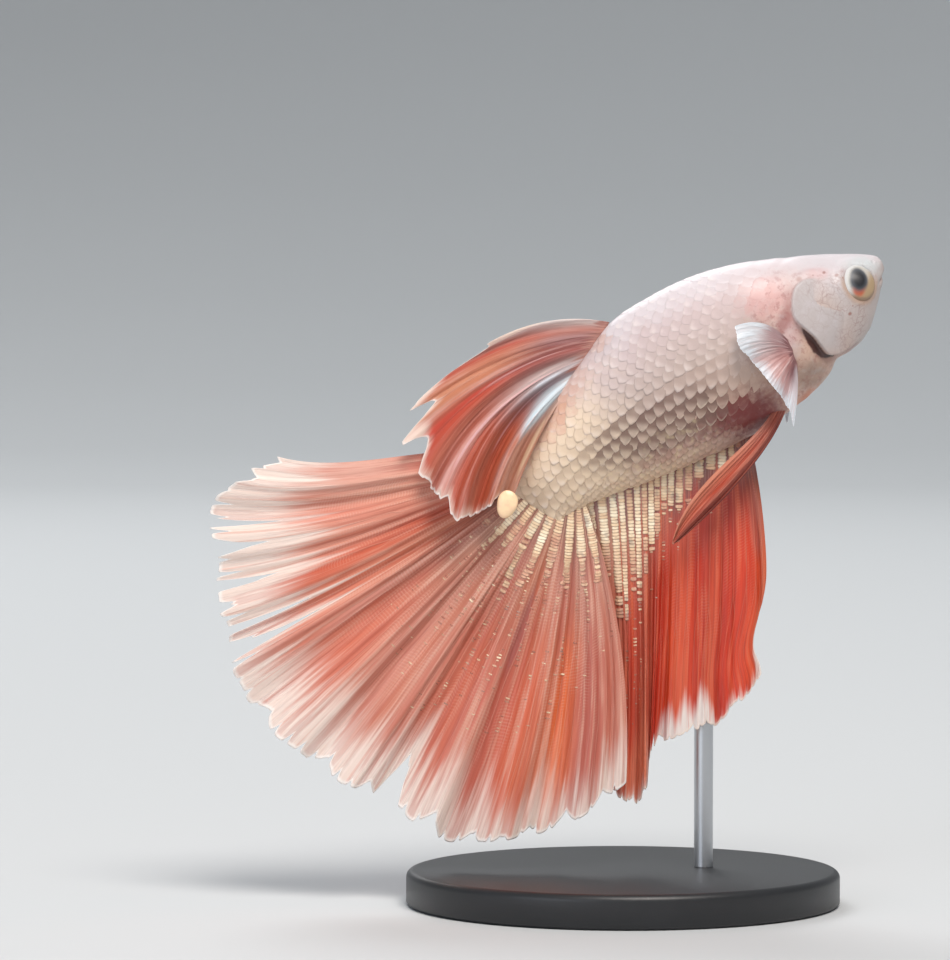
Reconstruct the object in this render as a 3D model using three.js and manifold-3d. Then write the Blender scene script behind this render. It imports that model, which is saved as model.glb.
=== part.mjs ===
// A male long-finned betta (Siamese fighting fish), life size, held on a plain display stand.
// Millimetres, +Z up. The fish swims towards +X and a little upwards, its right flank facing -Y.
// The origin is the middle of the stand's underside. Fish points are given from its tail root.
import * as THREE from "three";
import { mergeVertices } from "three/addons/utils/BufferGeometryUtils.js";
import Module from "manifold-3d";

const wasm = await Module();
wasm.setup();

// Driving dimensions.
const tailRoot = { x: -9, z: 47 }; // above and behind the middle of the stand
const finThickness = 0.55;
const partingGap = 0.3; // between neighbouring pieces

const stand = {
  baseRadius: 25,
  baseThickness: 4,
  edgeRound: 0.8,
  rodRadius: 1.1,
  rodX: 18.4, // ahead of the tail root
  rodY: 2.4, // to the fish's left of the anal fin
  rodTop: 14, // above the tail root, before the belly trims it
};

// Body stations from the lips to the tail root: back x, back z, belly x, belly z, half the width.
const stations = [
  [38.4, 27.6, 39.1, 26.6, 1.1],
  [37.2, 27.9, 38.9, 25.0, 2.2],
  [34.8, 28.0, 38.3, 22.0, 3.2],
  [31.0, 27.9, 36.9, 18.3, 4.1],
  [26.5, 27.5, 33.8, 15.2, 4.8],
  [21.3, 26.8, 30.4, 11.6, 5.1],
  [16.1, 25.2, 25.3, 7.9, 5.1],
  [11.5, 22.9, 20.7, 5.5, 4.9],
  [7.5, 20.2, 16.7, 3.7, 4.5],
  [4.6, 16.3, 12.6, 2.0, 3.9],
  [1.5, 12.0, 8.8, 0.6, 3.2],
  [-1.7, 7.7, 5.9, -0.5, 2.4],
  [-4.2, 4.0, 3.6, -1.6, 1.6],
];
const tailStation = stations.length - 1;
const body = {
  widestShare: 0.45, // how far down each section is widest
  keelPower: 1.25, // above 1, the belly narrows to a keel
  snoutRound: 0.6, // stations over which the snout rounds off
  headTurn: 0.32, // the slope at which the head turns to the fish's left
  neck: 24, // the head's turn starts here, ahead of the tail root,
  neckEase: 6, // and eases in over about this length
  flankBow: 0.9, // how far the trunk bows to the right
  gillStation: 4.3, // the head ends at the gill opening
  ventStation: 9.4, // the trunk ends above the end of the anal fin
  around: 24,
};
const eye = { x: 35.7, z: 24.4, radius: 2.15, depth: 1.4, proud: 0.6, forward: 0.45 };
const gillCover = { x: 31.4, z: 19.9, long: 3.7, tall: 4.4, lean: 0.35, depth: 1.3 };

// Fins are fans of key rays. A ray is a Bezier curve of three or four points, each x, y, z. A slit
// is a place across the fan, a depth as a share of the ray, and a width. Places run from 0 to 1.
const caudal = {
  rootTop: [-2.9, 4.6],
  rootBottom: [3.9, -0.2],
  firstAngle: 171,
  lastAngle: 285.5,
  reach: [32.6, 38.2, 38.9, 40.0, 41.5, 41.3, 40.7, 39.8, 41.2, 39.3, 37.2, 34.4],
  bowTop: -2.6, // the top rays sag towards the middle of the fan
  bowBottom: 3.6, // the bottom rays bulge away from it
  leanTop: 1.2,
  leanBottom: -1.4, // the bottom of the fan stands to the right of the anal fin
  pleats: { count: 8.5, height: 0.8, phase: 0.6 },
  slits: [
    [0.05, 0.1, 0.012],
    [0.138, 0.22, 0.008],
    [0.165, 0.14, 0.01],
    [0.222, 0.1, 0.01],
    [0.318, 0.28, 0.01],
    [0.5, 0.06, 0.02],
    [0.625, 0.17, 0.014],
    [0.89, 0.07, 0.018],
  ],
};
const dorsal = {
  rays: [
    [7.4, 0, 20.1, 0.2, 0, 21.5, -6.4, 0, 17.8],
    [6.7, 0, 18.9, -3.5, -0.3, 19.2, -14.6, -0.2, 10.8],
    [6.1, 0, 18.0, -5.2, -0.5, 16.9, -16.3, -0.6, 6.3],
    [5.6, 0, 17.1, -7.7, -2.2, 14.4, -13.6, -2.8, 1.7],
    [5.2, 0, 16.3, -8.1, -1.2, 11.6, -12.1, -2.8, 0.3],
    [4.7, 0, 15.5, -7.3, -2.8, 11.5, -10.0, -4.4, -2.6],
    [4.3, 0, 14.7, -4.6, -1.8, 11.0, -7.7, -3.2, -1.7],
    [3.9, 0, 13.9, -3.0, -3.1, 9.1, -5.9, -4.3, -0.7],
    [3.4, 0, 13.1, -0.7, -3.2, 8.7, -3.9, -3.9, -1.8],
  ],
  pleats: { count: 4, height: 0.35, phase: 0.9 },
  slits: [
    [0.055, 0.2, 0.035],
    [0.185, 0.1, 0.03],
    [0.315, 0.2, 0.035],
    [0.56, 0.07, 0.02],
    [0.81, 0.08, 0.02],
  ],
};
const anal = {
  rays: [
    [23.5, 0, 7.2, 26.8, 0.2, -7.2, 24.4, 0.4, -20.1],
    [22.3, 0, 6.8, 24.4, -0.2, -7.8, 23.0, -0.4, -23.0],
    [20.4, 0, 6.7, 20.6, 0.1, -10.7, 19.7, 0.4, -26.4],
    [17.5, 0, 5.4, 17.5, -0.1, -11.8, 17.1, -0.3, -26.9],
    [15.1, 0, 4.4, 15.0, 0.4, -12.4, 14.1, 0.9, -28.2],
    [13.2, 0, 3.6, 13.2, 0.9, -13.6, 12.3, 2.1, -29.4],
    [11.5, 0, 2.9, 12.0, 0.4, -16.4, 11.7, 1.0, -33.7],
    [9.5, 0, 2.2, 10.9, 0.8, -17.6, 10.0, 1.7, -35.7],
    [7.5, 0, 1.6, 9.2, 1.2, -17.0, 7.7, 2.5, -33.9],
    [5.2, 0, 0.9, 6.6, 1.4, -16.4, 5.2, 3.0, -30.2],
  ],
  pleats: { count: 9, height: 0.22, phase: 0 },
  slits: [
    [0.06, 0.06, 0.03],
    [0.28, 0.03, 0.02],
    [0.5, 0.04, 0.02],
  ],
};
// Paired fins are given for the right side and mirrored for the left.
const pectoral = {
  rays: [
    [29.0, -2.4, 16.9, 25.6, -6.4, 20.8, 21.6, -7.6, 19.2],
    [29.1, -2.4, 16.3, 25.4, -6.8, 18.1, 22.5, -8.0, 17.1],
    [29.2, -2.4, 15.7, 26.5, -6.4, 16.3, 24.4, -7.6, 15.1],
    [29.3, -2.3, 15.1, 27.6, -6.0, 14.6, 26.2, -7.1, 12.8],
    [29.4, -2.2, 14.5, 28.4, -5.4, 13.4, 27.4, -6.5, 11.2],
    [29.5, -2.1, 13.9, 29.1, -4.8, 11.7, 28.2, -5.6, 8.4],
  ],
  pleats: { count: 3, height: 0.18, phase: 0.4 },
  slits: [[0.9, 0.08, 0.06]],
};
const pelvic = {
  rays: [
    [26.8, -1.6, 11.6, 25.0, -4.6, 6.3, 16.4, -5.4, 2.4, 14.8, -4.8, -4.5],
    [27.3, -1.5, 11.2, 25.6, -4.8, 6.0, 17.4, -5.2, 0.2, 14.6, -4.6, -5.1],
    [27.8, -1.3, 10.9, 26.1, -4.4, 5.6, 18.4, -4.4, -1.6, 15.1, -4.4, -4.8],
  ],
  pleats: { count: 1, height: 0, phase: 0 },
  slits: [],
};

// The value of equal-length rows at a fractional index, on a Catmull-Rom spline.
function along(rows, t) {
  const i = Math.min(Math.floor(t), rows.length - 2);
  const f = t - i;
  const [here, next] = [rows[i], rows[i + 1]];
  const before = rows[i - 1] ?? here.map((h, k) => 2 * h - next[k]);
  const after = rows[i + 2] ?? next.map((n, k) => 2 * n - here[k]);
  return here.map((h, k) => {
    const slopeIn = (next[k] - before[k]) / 2;
    const slopeOut = (after[k] - h) / 2;
    const cubic = 2 * h - 2 * next[k] + slopeIn + slopeOut;
    const square = 3 * next[k] - 3 * h - 2 * slopeIn - slopeOut;
    return ((cubic * f + square) * f + slopeIn) * f + h;
  });
}

// How far the body's middle lies to the left: the head turns left and the trunk bows right.
function sway(t) {
  const [backX, , bellyX] = along(stations, t);
  const past = Math.max(0, (backX + bellyX) / 2 - body.neck);
  const turned = (body.headTurn * past ** 2) / (past + body.neckEase);
  return turned - body.flankBow * Math.sin((Math.PI * t) / tailStation) ** 2;
}

// One section of the body: its middle, and the vectors from there to the back, belly and left side.
function section(t, grow = 0) {
  const [backX, backZ, bellyX, bellyZ, half] = along(stations, t);
  const up = new THREE.Vector3(backX - bellyX, 0, backZ - bellyZ).normalize();
  const ahead = new THREE.Vector3(up.z, 0, -up.x);
  const back = new THREE.Vector3(backX, 0, backZ).addScaledVector(up, grow);
  const belly = new THREE.Vector3(bellyX, 0, bellyZ).addScaledVector(up, -grow);
  const middle = back.clone().lerp(belly, body.widestShare);
  const rounding = Math.min(1, t / body.snoutRound);
  const size = Math.sqrt(1 - (1 - rounding) ** 2);
  const step = 0.05;
  const before = along(stations, Math.max(0, t - step));
  const after = along(stations, Math.min(tailStation, t + step));
  const run = Math.hypot(after[0] + after[2] - before[0] - before[2], after[1] + after[3] - before[1] - before[3]) / 2;
  const yaw = Math.atan2(sway(Math.max(0, t - step)) - sway(Math.min(tailStation, t + step)), run);
  const left = new THREE.Vector3(0, Math.cos(yaw), 0).addScaledVector(ahead, -Math.sin(yaw));
  return {
    middle: middle.clone().add(new THREE.Vector3(0, sway(t), 0)).addScaledVector(ahead, grow * (1 - rounding)),
    back: back.sub(middle).multiplyScalar(size),
    belly: belly.sub(middle).multiplyScalar(size),
    left: left.multiplyScalar((half + grow) * size),
    ahead,
  };
}

// A point of the skin. The angle runs from the back over the left side, the belly and the right side.
function skinPoint(t, angle, grow = 0) {
  const s = section(t, grow);
  const rise = Math.cos(angle);
  const width = Math.sin(angle);
  const narrowed = rise < 0 ? Math.sign(width) * Math.abs(width) ** body.keelPower : width;
  return s.middle
    .clone()
    .addScaledVector(rise > 0 ? s.back : s.belly, Math.abs(rise))
    .addScaledVector(s.left, narrowed);
}

// The skin's station and angle straight out to one side of a place in the fish's middle plane.
function placeOnSkin(x, z, side) {
  let low = 0;
  let high = tailStation;
  for (let i = 0; i < 40; i++) {
    const t = (low + high) / 2;
    const [backX, backZ, bellyX, bellyZ] = along(stations, t);
    const ahead = (bellyZ - backZ) * (x - backX) - (bellyX - backX) * (z - backZ) < 0;
    if (ahead) high = t;
    else low = t;
  }
  const [backX, backZ, bellyX, bellyZ] = along(stations, low);
  const share = Math.hypot(x - backX, z - backZ) / Math.hypot(bellyX - backX, bellyZ - backZ);
  const rise = share < body.widestShare ? 1 - share / body.widestShare : (body.widestShare - share) / (1 - body.widestShare);
  const angle = Math.acos(Math.max(-1, Math.min(1, rise)));
  return { t: low, angle: side > 0 ? angle : -angle };
}

function geometryOf(points, faces) {
  const geometry = new THREE.BufferGeometry().setFromPoints(points);
  geometry.setIndex(faces);
  return geometry;
}

// A solid from a three.js geometry that is one closed surface.
function solidOf(geometry) {
  const bare = new THREE.BufferGeometry().setAttribute("position", geometry.getAttribute("position"));
  bare.setIndex(geometry.index);
  const merged = mergeVertices(bare, 1e-4);
  const vertProperties = merged.attributes.position.array;
  const triVerts = new Uint32Array(merged.index.array);
  return new wasm.Manifold(new wasm.Mesh({ numProp: 3, vertProperties, triVerts }));
}

// The largest piece of a solid, so that no crumb is left by a cut.
function largest(solid) {
  return solid.decompose().reduce((a, b) => (a.volume() > b.volume() ? a : b));
}

// The body between two stations, closed by a fan at each end.
function loft(from, to, rings, grow = 0) {
  const points = [];
  const faces = [];
  for (let i = 0; i <= rings; i++) {
    const t = from + ((to - from) * i) / rings;
    for (let k = 0; k < body.around; k++) {
      points.push(skinPoint(t, (2 * Math.PI * k) / body.around, grow));
    }
  }
  for (let i = 0; i < rings; i++) {
    for (let k = 0; k < body.around; k++) {
      const next = (k + 1) % body.around;
      const [a, b] = [i * body.around + k, i * body.around + next];
      const [c, d] = [a + body.around, b + body.around];
      faces.push(a, b, c, b, d, c);
    }
  }
  const first = points.length;
  points.push(section(from, grow).middle, section(to, grow).middle);
  for (let k = 0; k < body.around; k++) {
    const next = (k + 1) % body.around;
    const end = rings * body.around;
    faces.push(first, next, k, first + 1, end + k, end + next);
  }
  return solidOf(geometryOf(points, faces));
}

// A point of the Bezier curve whose control points are x, y, z in turn.
function bezier(row, u) {
  const points = [];
  for (let i = 0; i < row.length; i += 3) points.push(new THREE.Vector3().fromArray(row, i));
  while (points.length > 1) {
    for (let i = 0; i + 1 < points.length; i++) points[i].lerp(points[i + 1], u);
    points.pop();
  }
  return points[0];
}

// A fin's middle surface at u along the rays and v across them.
function finSurface(fin, u, v, side) {
  const ray = along(fin.rays, v * (fin.rays.length - 1));
  const cut = fin.slits.reduce((sum, [at, depth, width]) => sum + depth * Math.exp(-(((v - at) / width) ** 2)), 0);
  const reach = u * (1 - cut);
  const { count, height, phase } = fin.pleats;
  const pleat = height * u * Math.sin(2 * Math.PI * count * v + phase);
  const { x, y, z } = bezier(ray, reach);
  return new THREE.Vector3(x, -side * (y + pleat), z);
}

// Places across a fin: even steps, with more at each slit.
function placesAcross(fin, steps) {
  const even = Array.from({ length: steps + 1 }, (_, i) => i / steps);
  const slits = fin.slits.flatMap(([at, , width]) => [at - 1.3 * width, at, at + 1.3 * width]);
  const clear = even.filter((v) => slits.every((s) => Math.abs(s - v) > 0.4 / steps));
  return [...clear, 0, 1, ...slits].sort((a, b) => a - b).filter((v, i, all) => v !== all[i - 1]);
}

// A thin solid, finThickness through, about a fin's middle surface.
function finSolid(fin, lengthSteps, acrossSteps, side = -1) {
  const points = [];
  const faces = [];
  const places = placesAcross(fin, acrossSteps);
  const columns = places.length;
  const last = columns - 1;
  const layer = (lengthSteps + 1) * columns;
  const step = 1e-3;
  for (const face of [1, -1]) {
    for (let i = 0; i <= lengthSteps; i++) {
      for (const v of places) {
        const u = i / lengthSteps;
        const at = finSurface(fin, u, v, side);
        const lengthwise = finSurface(fin, u + step, v, side).sub(finSurface(fin, Math.max(0, u - step), v, side));
        const [v0, v1] = [Math.max(0, v - step), Math.min(1, v + step)];
        const across = finSurface({ ...fin, slits: [] }, u, v1, side).sub(finSurface({ ...fin, slits: [] }, u, v0, side));
        const normal = lengthwise.cross(across).normalize();
        points.push(at.addScaledVector(normal, (face * finThickness) / 2));
      }
    }
  }
  const quad = (a, b, c, d) => faces.push(a, b, c, a, c, d);
  const index = (i, j) => i * columns + j;
  for (let i = 0; i < lengthSteps; i++) {
    for (let j = 0; j < last; j++) {
      const [a, b, c, d] = [index(i, j), index(i + 1, j), index(i + 1, j + 1), index(i, j + 1)];
      quad(a, b, c, d);
      quad(a + layer, d + layer, c + layer, b + layer);
    }
  }
  const rim = [];
  for (let j = 0; j < last; j++) rim.push(index(0, j));
  for (let i = 0; i < lengthSteps; i++) rim.push(index(i, last));
  for (let j = last; j > 0; j--) rim.push(index(lengthSteps, j));
  for (let i = lengthSteps; i > 0; i--) rim.push(index(i, 0));
  rim.forEach((a, k) => {
    const b = rim[(k + 1) % rim.length];
    quad(a, b, b + layer, a + layer);
  });
  const solid = solidOf(geometryOf(points, faces));
  if (solid.volume() > 0) return solid;
  for (let i = 0; i < faces.length; i += 3) [faces[i + 1], faces[i + 2]] = [faces[i + 2], faces[i + 1]];
  return solidOf(geometryOf(points, faces));
}

// The caudal fan's rays, from its root line, angles and reaches.
function caudalRays() {
  const count = caudal.reach.length;
  return caudal.reach.map((reach, i) => {
    const v = i / (count - 1);
    const angle = THREE.MathUtils.degToRad(THREE.MathUtils.lerp(caudal.firstAngle, caudal.lastAngle, v));
    const root = caudal.rootTop.map((top, k) => THREE.MathUtils.lerp(top, caudal.rootBottom[k], v));
    const tip = [reach * Math.cos(angle), reach * Math.sin(angle)];
    const bow = THREE.MathUtils.lerp(caudal.bowTop, caudal.bowBottom, v) * Math.abs(2 * v - 1);
    const outward = [-Math.sin(angle), Math.cos(angle)];
    const lean = THREE.MathUtils.lerp(caudal.leanTop, caudal.leanBottom, v);
    const sense = v < 0.5 ? -1 : 1;
    const bend = root.map((r, k) => (r + tip[k]) / 2 + sense * bow * outward[k]);
    return [root[0], 0, root[1], bend[0], lean * 0.4, bend[1], tip[0], lean, tip[1]];
  });
}

// A flattened eye set in the side of the head, which may be grown by a clearance.
function eyeSolid(side, grow = 0) {
  const { t, angle } = placeOnSkin(eye.x, eye.z, side);
  const { left, ahead } = section(t);
  const outward = left.setLength(side).addScaledVector(ahead, eye.forward).normalize();
  const middle = skinPoint(t, angle).addScaledVector(outward, eye.proud - eye.depth);
  const ball = new THREE.SphereGeometry(1, 16, 10).rotateX(Math.PI / 2);
  ball.scale(eye.radius + grow, eye.radius + grow, eye.depth + grow);
  const turn = new THREE.Quaternion().setFromUnitVectors(new THREE.Vector3(0, 0, 1), outward);
  ball.applyQuaternion(turn).translate(middle.x, middle.y, middle.z);
  return solidOf(ball);
}

// A leaning oval prism that reaches into the cheek from one side.
function gillPrism(side, grow = 0) {
  const { t, angle } = placeOnSkin(gillCover.x, gillCover.z, side);
  const surface = skinPoint(t, angle);
  const outline = new THREE.Shape();
  outline.absellipse(0, 0, gillCover.long + grow, gillCover.tall + grow, 0, 2 * Math.PI, false, gillCover.lean);
  const reach = 10;
  const prism = new THREE.ExtrudeGeometry(outline, { depth: reach, bevelEnabled: false, curveSegments: 9 });
  prism.rotateX(Math.PI / 2);
  const inner = surface.y - side * (gillCover.depth + grow);
  prism.translate(surface.x, side > 0 ? inner + reach : inner, surface.z);
  return solidOf(prism);
}

function meshOf(solid, name, look) {
  const { numProp, vertProperties, triVerts } = solid.getMesh();
  const geometry = new THREE.BufferGeometry();
  geometry.setAttribute("position", new THREE.BufferAttribute(vertProperties, numProp));
  geometry.setIndex(new THREE.BufferAttribute(triVerts, 1));
  const { colour, roughness, metalness = 0 } = look;
  const mesh = new THREE.Mesh(geometry, new THREE.MeshStandardMaterial({ color: colour, roughness, metalness }));
  mesh.name = name;
  return mesh;
}

const looks = {
  skin: { colour: 0xe3c6be, roughness: 0.42 },
  cheek: { colour: 0xe6d3cd, roughness: 0.4 },
  fin: { colour: 0xcf6a57, roughness: 0.5 },
  redFin: { colour: 0xc0402c, roughness: 0.5 },
  paleFin: { colour: 0xe4c4bf, roughness: 0.45 },
  eye: { colour: 0x2b2320, roughness: 0.1 },
  rod: { colour: 0xb9bcc0, roughness: 0.3, metalness: 1 },
  base: { colour: 0x2a2a2c, roughness: 0.4 },
};

const fish = new THREE.Group();
fish.position.set(tailRoot.x, 0, tailRoot.z);
const snoutStart = 0.03;
const wholeBody = loft(snoutStart, tailStation, 22, partingGap);
const [leftSide, rightSide] = [1, -1];
const sides = [
  ["left", leftSide],
  ["right", rightSide],
];

// Head, with the eyes and gill covers let into it.
let head = loft(snoutStart, body.gillStation, 9);
for (const [name, side] of sides) {
  head = head.subtract(eyeSolid(side, partingGap));
  fish.add(meshOf(eyeSolid(side), `eye_${name}`, looks.eye));
}
const openHead = sides.reduce((solid, [, side]) => solid.subtract(gillPrism(side, partingGap)), head);
for (const [name, side] of sides) {
  fish.add(meshOf(largest(head.intersect(gillPrism(side))), `gill_cover_${name}`, looks.cheek));
}
fish.add(meshOf(largest(openHead), "head", looks.skin));

// Trunk and tail root, parted by thin cuts.
const partingStations = 0.07;
const trunk = loft(body.gillStation + partingStations, body.ventStation, 10);
fish.add(meshOf(trunk, "trunk", looks.skin));
const peduncle = loft(body.ventStation + partingStations, tailStation, 5);
fish.add(meshOf(peduncle, "tail_root", looks.skin));

// Fins, trimmed clear of the body.
const caudalFin = finSolid({ ...caudal, rays: caudalRays() }, 8, 56);
fish.add(meshOf(largest(caudalFin.subtract(wholeBody)), "caudal_fin", looks.fin));
fish.add(meshOf(largest(finSolid(dorsal, 7, 32).subtract(wholeBody)), "dorsal_fin", looks.fin));
fish.add(meshOf(largest(finSolid(anal, 7, 36).subtract(wholeBody)), "anal_fin", looks.redFin));
for (const [name, side] of sides) {
  const pectoralFin = finSolid(pectoral, 5, 12, side).subtract(wholeBody);
  fish.add(meshOf(largest(pectoralFin), `pectoral_fin_${name}`, looks.paleFin));
  const pelvicFin = finSolid(pelvic, 9, 4, side).subtract(wholeBody);
  fish.add(meshOf(largest(pelvicFin), `pelvic_fin_${name}`, looks.redFin));
}

// The display stand: a round base, and one rod up to the belly.
function standBase() {
  const { baseRadius, baseThickness, edgeRound } = stand;
  const profile = new THREE.Path();
  profile.moveTo(0, 0).lineTo(baseRadius - edgeRound / 2, 0);
  profile.lineTo(baseRadius, edgeRound / 2).lineTo(baseRadius, baseThickness - edgeRound);
  profile.absarc(baseRadius - edgeRound, baseThickness - edgeRound, edgeRound, 0, Math.PI / 2);
  profile.lineTo(0, baseThickness);
  const disc = new THREE.LatheGeometry(profile.getPoints(2), 36);
  return solidOf(disc.rotateX(Math.PI / 2));
}

function standRod() {
  const height = tailRoot.z + stand.rodTop - stand.baseThickness;
  const rod = new THREE.CylinderGeometry(stand.rodRadius, stand.rodRadius, height, 16);
  rod.rotateX(Math.PI / 2);
  rod.translate(stand.rodX, stand.rodY, stand.rodTop - height / 2);
  return largest(solidOf(rod).subtract(wholeBody));
}

const model = new THREE.Group();
fish.add(meshOf(standRod(), "stand_rod", looks.rod));
model.add(fish, meshOf(standBase(), "stand_base", looks.base));

export default model;
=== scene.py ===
# A male long-finned betta, pale body and salmon-red fins, on its display stand.
# Lengths are millimetres from the tail root unless a line says otherwise.
import math

import bpy
import numpy as np
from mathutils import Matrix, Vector


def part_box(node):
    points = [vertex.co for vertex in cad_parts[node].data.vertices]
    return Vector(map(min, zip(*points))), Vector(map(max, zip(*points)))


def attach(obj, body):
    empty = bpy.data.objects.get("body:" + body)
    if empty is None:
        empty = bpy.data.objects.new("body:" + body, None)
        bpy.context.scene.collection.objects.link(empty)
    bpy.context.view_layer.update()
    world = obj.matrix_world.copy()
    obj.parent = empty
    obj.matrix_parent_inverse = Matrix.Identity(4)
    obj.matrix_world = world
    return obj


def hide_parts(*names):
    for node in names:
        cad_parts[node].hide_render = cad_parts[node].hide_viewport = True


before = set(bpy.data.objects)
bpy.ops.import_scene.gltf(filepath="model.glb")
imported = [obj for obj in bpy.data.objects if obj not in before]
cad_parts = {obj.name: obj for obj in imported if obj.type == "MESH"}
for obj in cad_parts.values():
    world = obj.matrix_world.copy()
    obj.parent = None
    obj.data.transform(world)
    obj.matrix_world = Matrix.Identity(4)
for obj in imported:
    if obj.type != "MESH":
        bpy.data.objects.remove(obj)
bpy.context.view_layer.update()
mm = 0.001
rng = np.random.default_rng(7)

# node graphs, for shaders and for geometry


def linear(hexColour):
    shares = [int(hexColour[i : i + 2], 16) / 255 for i in (1, 3, 5)]
    return [s / 12.92 if s < 0.0405 else ((s + 0.055) / 1.055) ** 2.4 for s in shares]


def pick(sockets, key):
    if isinstance(key, int):
        return sockets[key]
    named = [s for s in sockets if key in (s.name, s.identifier)]
    return next((s for s in named if s.enabled), named[0])


class Wire:
    # one output socket; arithmetic on it adds Math nodes

    def __init__(self, graph, socket):
        self.graph, self.socket = graph, socket

    def math(self, operation, first, second=0.0):
        return self.graph.math(operation, first, second)

    def output(self, key):
        return Wire(self.graph, pick(self.socket.node.outputs, key))

    def __add__(self, other):
        return self.math("ADD", self, other)

    def __sub__(self, other):
        return self.math("SUBTRACT", self, other)

    def __rsub__(self, other):
        return self.math("SUBTRACT", other, self)

    def __mul__(self, other):
        return self.math("MULTIPLY", self, other)

    def __truediv__(self, other):
        return self.math("DIVIDE", self, other)

    def __pow__(self, other):
        return self.math("POWER", self, other)

    __radd__ = __add__
    __rmul__ = __mul__

    def sine(self):
        return self.math("SINE", self)

    def cosine(self):
        return self.math("COSINE", self)

    def size(self):
        return self.math("ABSOLUTE", self)


class Graph:
    def __init__(self, tree):
        self.tree = tree

    def math(self, operation, first, second=0.0):
        return self.node("ShaderNodeMath", {"operation": operation}, {0: first, 1: second})

    def node(self, kind, settings={}, inputs={}, output=0):
        made = self.tree.nodes.new(kind)
        for name, value in settings.items():
            if name == "stops":
                self.setStops(made.color_ramp, value)
            else:
                setattr(made, name, value)
        for key, value in inputs.items():
            socket = pick(made.inputs, key)
            if isinstance(value, Wire):
                self.tree.links.new(value.socket, socket)
            elif socket.type == "RGBA":
                socket.default_value = (*linear(value), 1)
            else:
                socket.default_value = value
        if not made.outputs:
            return None
        return Wire(self, pick(made.outputs, output))

    def setStops(self, ramp, stops):
        while len(ramp.elements) < len(stops):
            ramp.elements.new(0.5)
        for element, (place, colour) in zip(ramp.elements, stops):
            element.position = place
            element.color = (*linear(colour), 1) if isinstance(colour, str) else (colour, colour, colour, 1)

    def mix(self, factor, first, second):
        sockets = {"Factor_Float": factor, "A_Color": first, "B_Color": second}
        return self.node("ShaderNodeMix", {"data_type": "RGBA"}, sockets, "Result_Color")

    def vector(self, operation, first, second):
        return self.node("ShaderNodeVectorMath", {"operation": operation}, {0: first, 1: second})

    def scaled(self, vector, by):
        return self.node("ShaderNodeVectorMath", {"operation": "SCALE"}, {0: vector, "Scale": by})

    def join(self, x, y=0.0, z=0.0):
        return self.node("ShaderNodeCombineXYZ", {}, {0: x, 1: y, 2: z})

    def parts(self, vector):
        x = self.node("ShaderNodeSeparateXYZ", {}, {0: vector})
        return x, x.output(1), x.output(2)

    def ramp(self, value, stops):
        return self.node("ShaderNodeValToRGB", {"stops": stops}, {0: value})

    def rising(self, low, high, value):
        settings = {"interpolation_type": "SMOOTHSTEP"}
        return self.node("ShaderNodeMapRange", settings, {"Value": value, "From Min": low, "From Max": high})

    def noise(self, vector, scale, detail=2.0, roughness=0.5):
        sockets = {"Vector": vector, "Scale": scale, "Detail": detail, "Roughness": roughness}
        return self.node("ShaderNodeTexNoise", {}, sockets, "Fac")

    def attribute(self, name, output="Fac"):
        return self.node("ShaderNodeAttribute", {"attribute_name": name}, {}, output)

    def place(self):
        # the point on the model, in millimetres
        return self.scaled(self.node("ShaderNodeTexCoord", {}, {}, "Object"), 1 / mm)

    def spot(self, x, z, centre, size, lean=0.0, soft=0.3):
        # a soft oval, 1 inside and 0 outside
        dx, dz = x - centre[0], z - centre[1]
        long = (dx * math.cos(lean) + dz * math.sin(lean)) / size[0]
        wide = (dz * math.cos(lean) - dx * math.sin(lean)) / size[1]
        return 1 - self.rising(soft, 1.0, (long * long + wide * wide) ** 0.5)

    def bump(self, height, distance, strength=1.0):
        return self.node("ShaderNodeBump", {}, {"Height": height, "Distance": distance, "Strength": strength})


def newMaterial(name):
    material = bpy.data.materials.new(name)
    material.use_nodes = True
    material.node_tree.nodes.clear()
    return material, Graph(material.node_tree)


def show(graph, shader):
    graph.node("ShaderNodeOutputMaterial", {}, {"Surface": shader})


def showGloss(graph, colour, roughness, coat=(0.0, 0.03), relief=None, metallic=0.0):
    # coat is the clear layer's weight and roughness; relief is a height, a depth in mm and a strength
    fine = {"Base Color": colour, "Roughness": roughness, "Metallic": metallic}
    fine["Coat Weight"], fine["Coat Roughness"] = coat
    if relief:
        height, depth, strength = relief
        fine["Normal"] = graph.bump(height, depth * mm, strength)
    show(graph, graph.node("ShaderNodeBsdfPrincipled", {}, fine))


# meshes
def addMesh(name, points, faces, material=None, attributes={}, edges=()):
    mesh = bpy.data.meshes.new(name)
    mesh.from_pydata(((points + tailRoot) * mm).tolist(), edges, faces)
    mesh.polygons.foreach_set("use_smooth", np.ones(len(mesh.polygons), bool))
    addAttributes(mesh, attributes)
    if material:
        mesh.materials.append(material)
    piece = bpy.data.objects.new(name, mesh)
    bpy.context.collection.objects.link(piece)
    return piece


def addAttributes(mesh, attributes):
    for name, values in attributes.items():
        vectors = np.ndim(values) == 2
        layer = mesh.attributes.new(name, "FLOAT_VECTOR" if vectors else "FLOAT", "POINT")
        layer.data.foreach_set("vector" if vectors else "value", np.asarray(values, np.float32).ravel())


def gridFaces(rows, columns, wrapped=False, start=0):
    index = start + np.arange(rows * columns).reshape(rows, columns)
    if wrapped:
        index = np.hstack([index, index[:, :1]])
    a, b, c, d = index[:-1, :-1], index[1:, :-1], index[1:, 1:], index[:-1, 1:]
    return np.stack([a, b, c, d], -1).reshape(-1, 4).tolist()


def facingOut(points, faces):
    volume = 0
    for corners in (3, 4):
        same = np.array([f for f in faces if len(f) == corners])
        for k in range(1, corners - 1) if len(same) else []:
            a, b, c = points[same[:, 0]], points[same[:, k]], points[same[:, k + 1]]
            volume += np.einsum("ij,ij->", a, np.cross(b, c))
    return faces if volume > 0 else [f[::-1] for f in faces]


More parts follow.
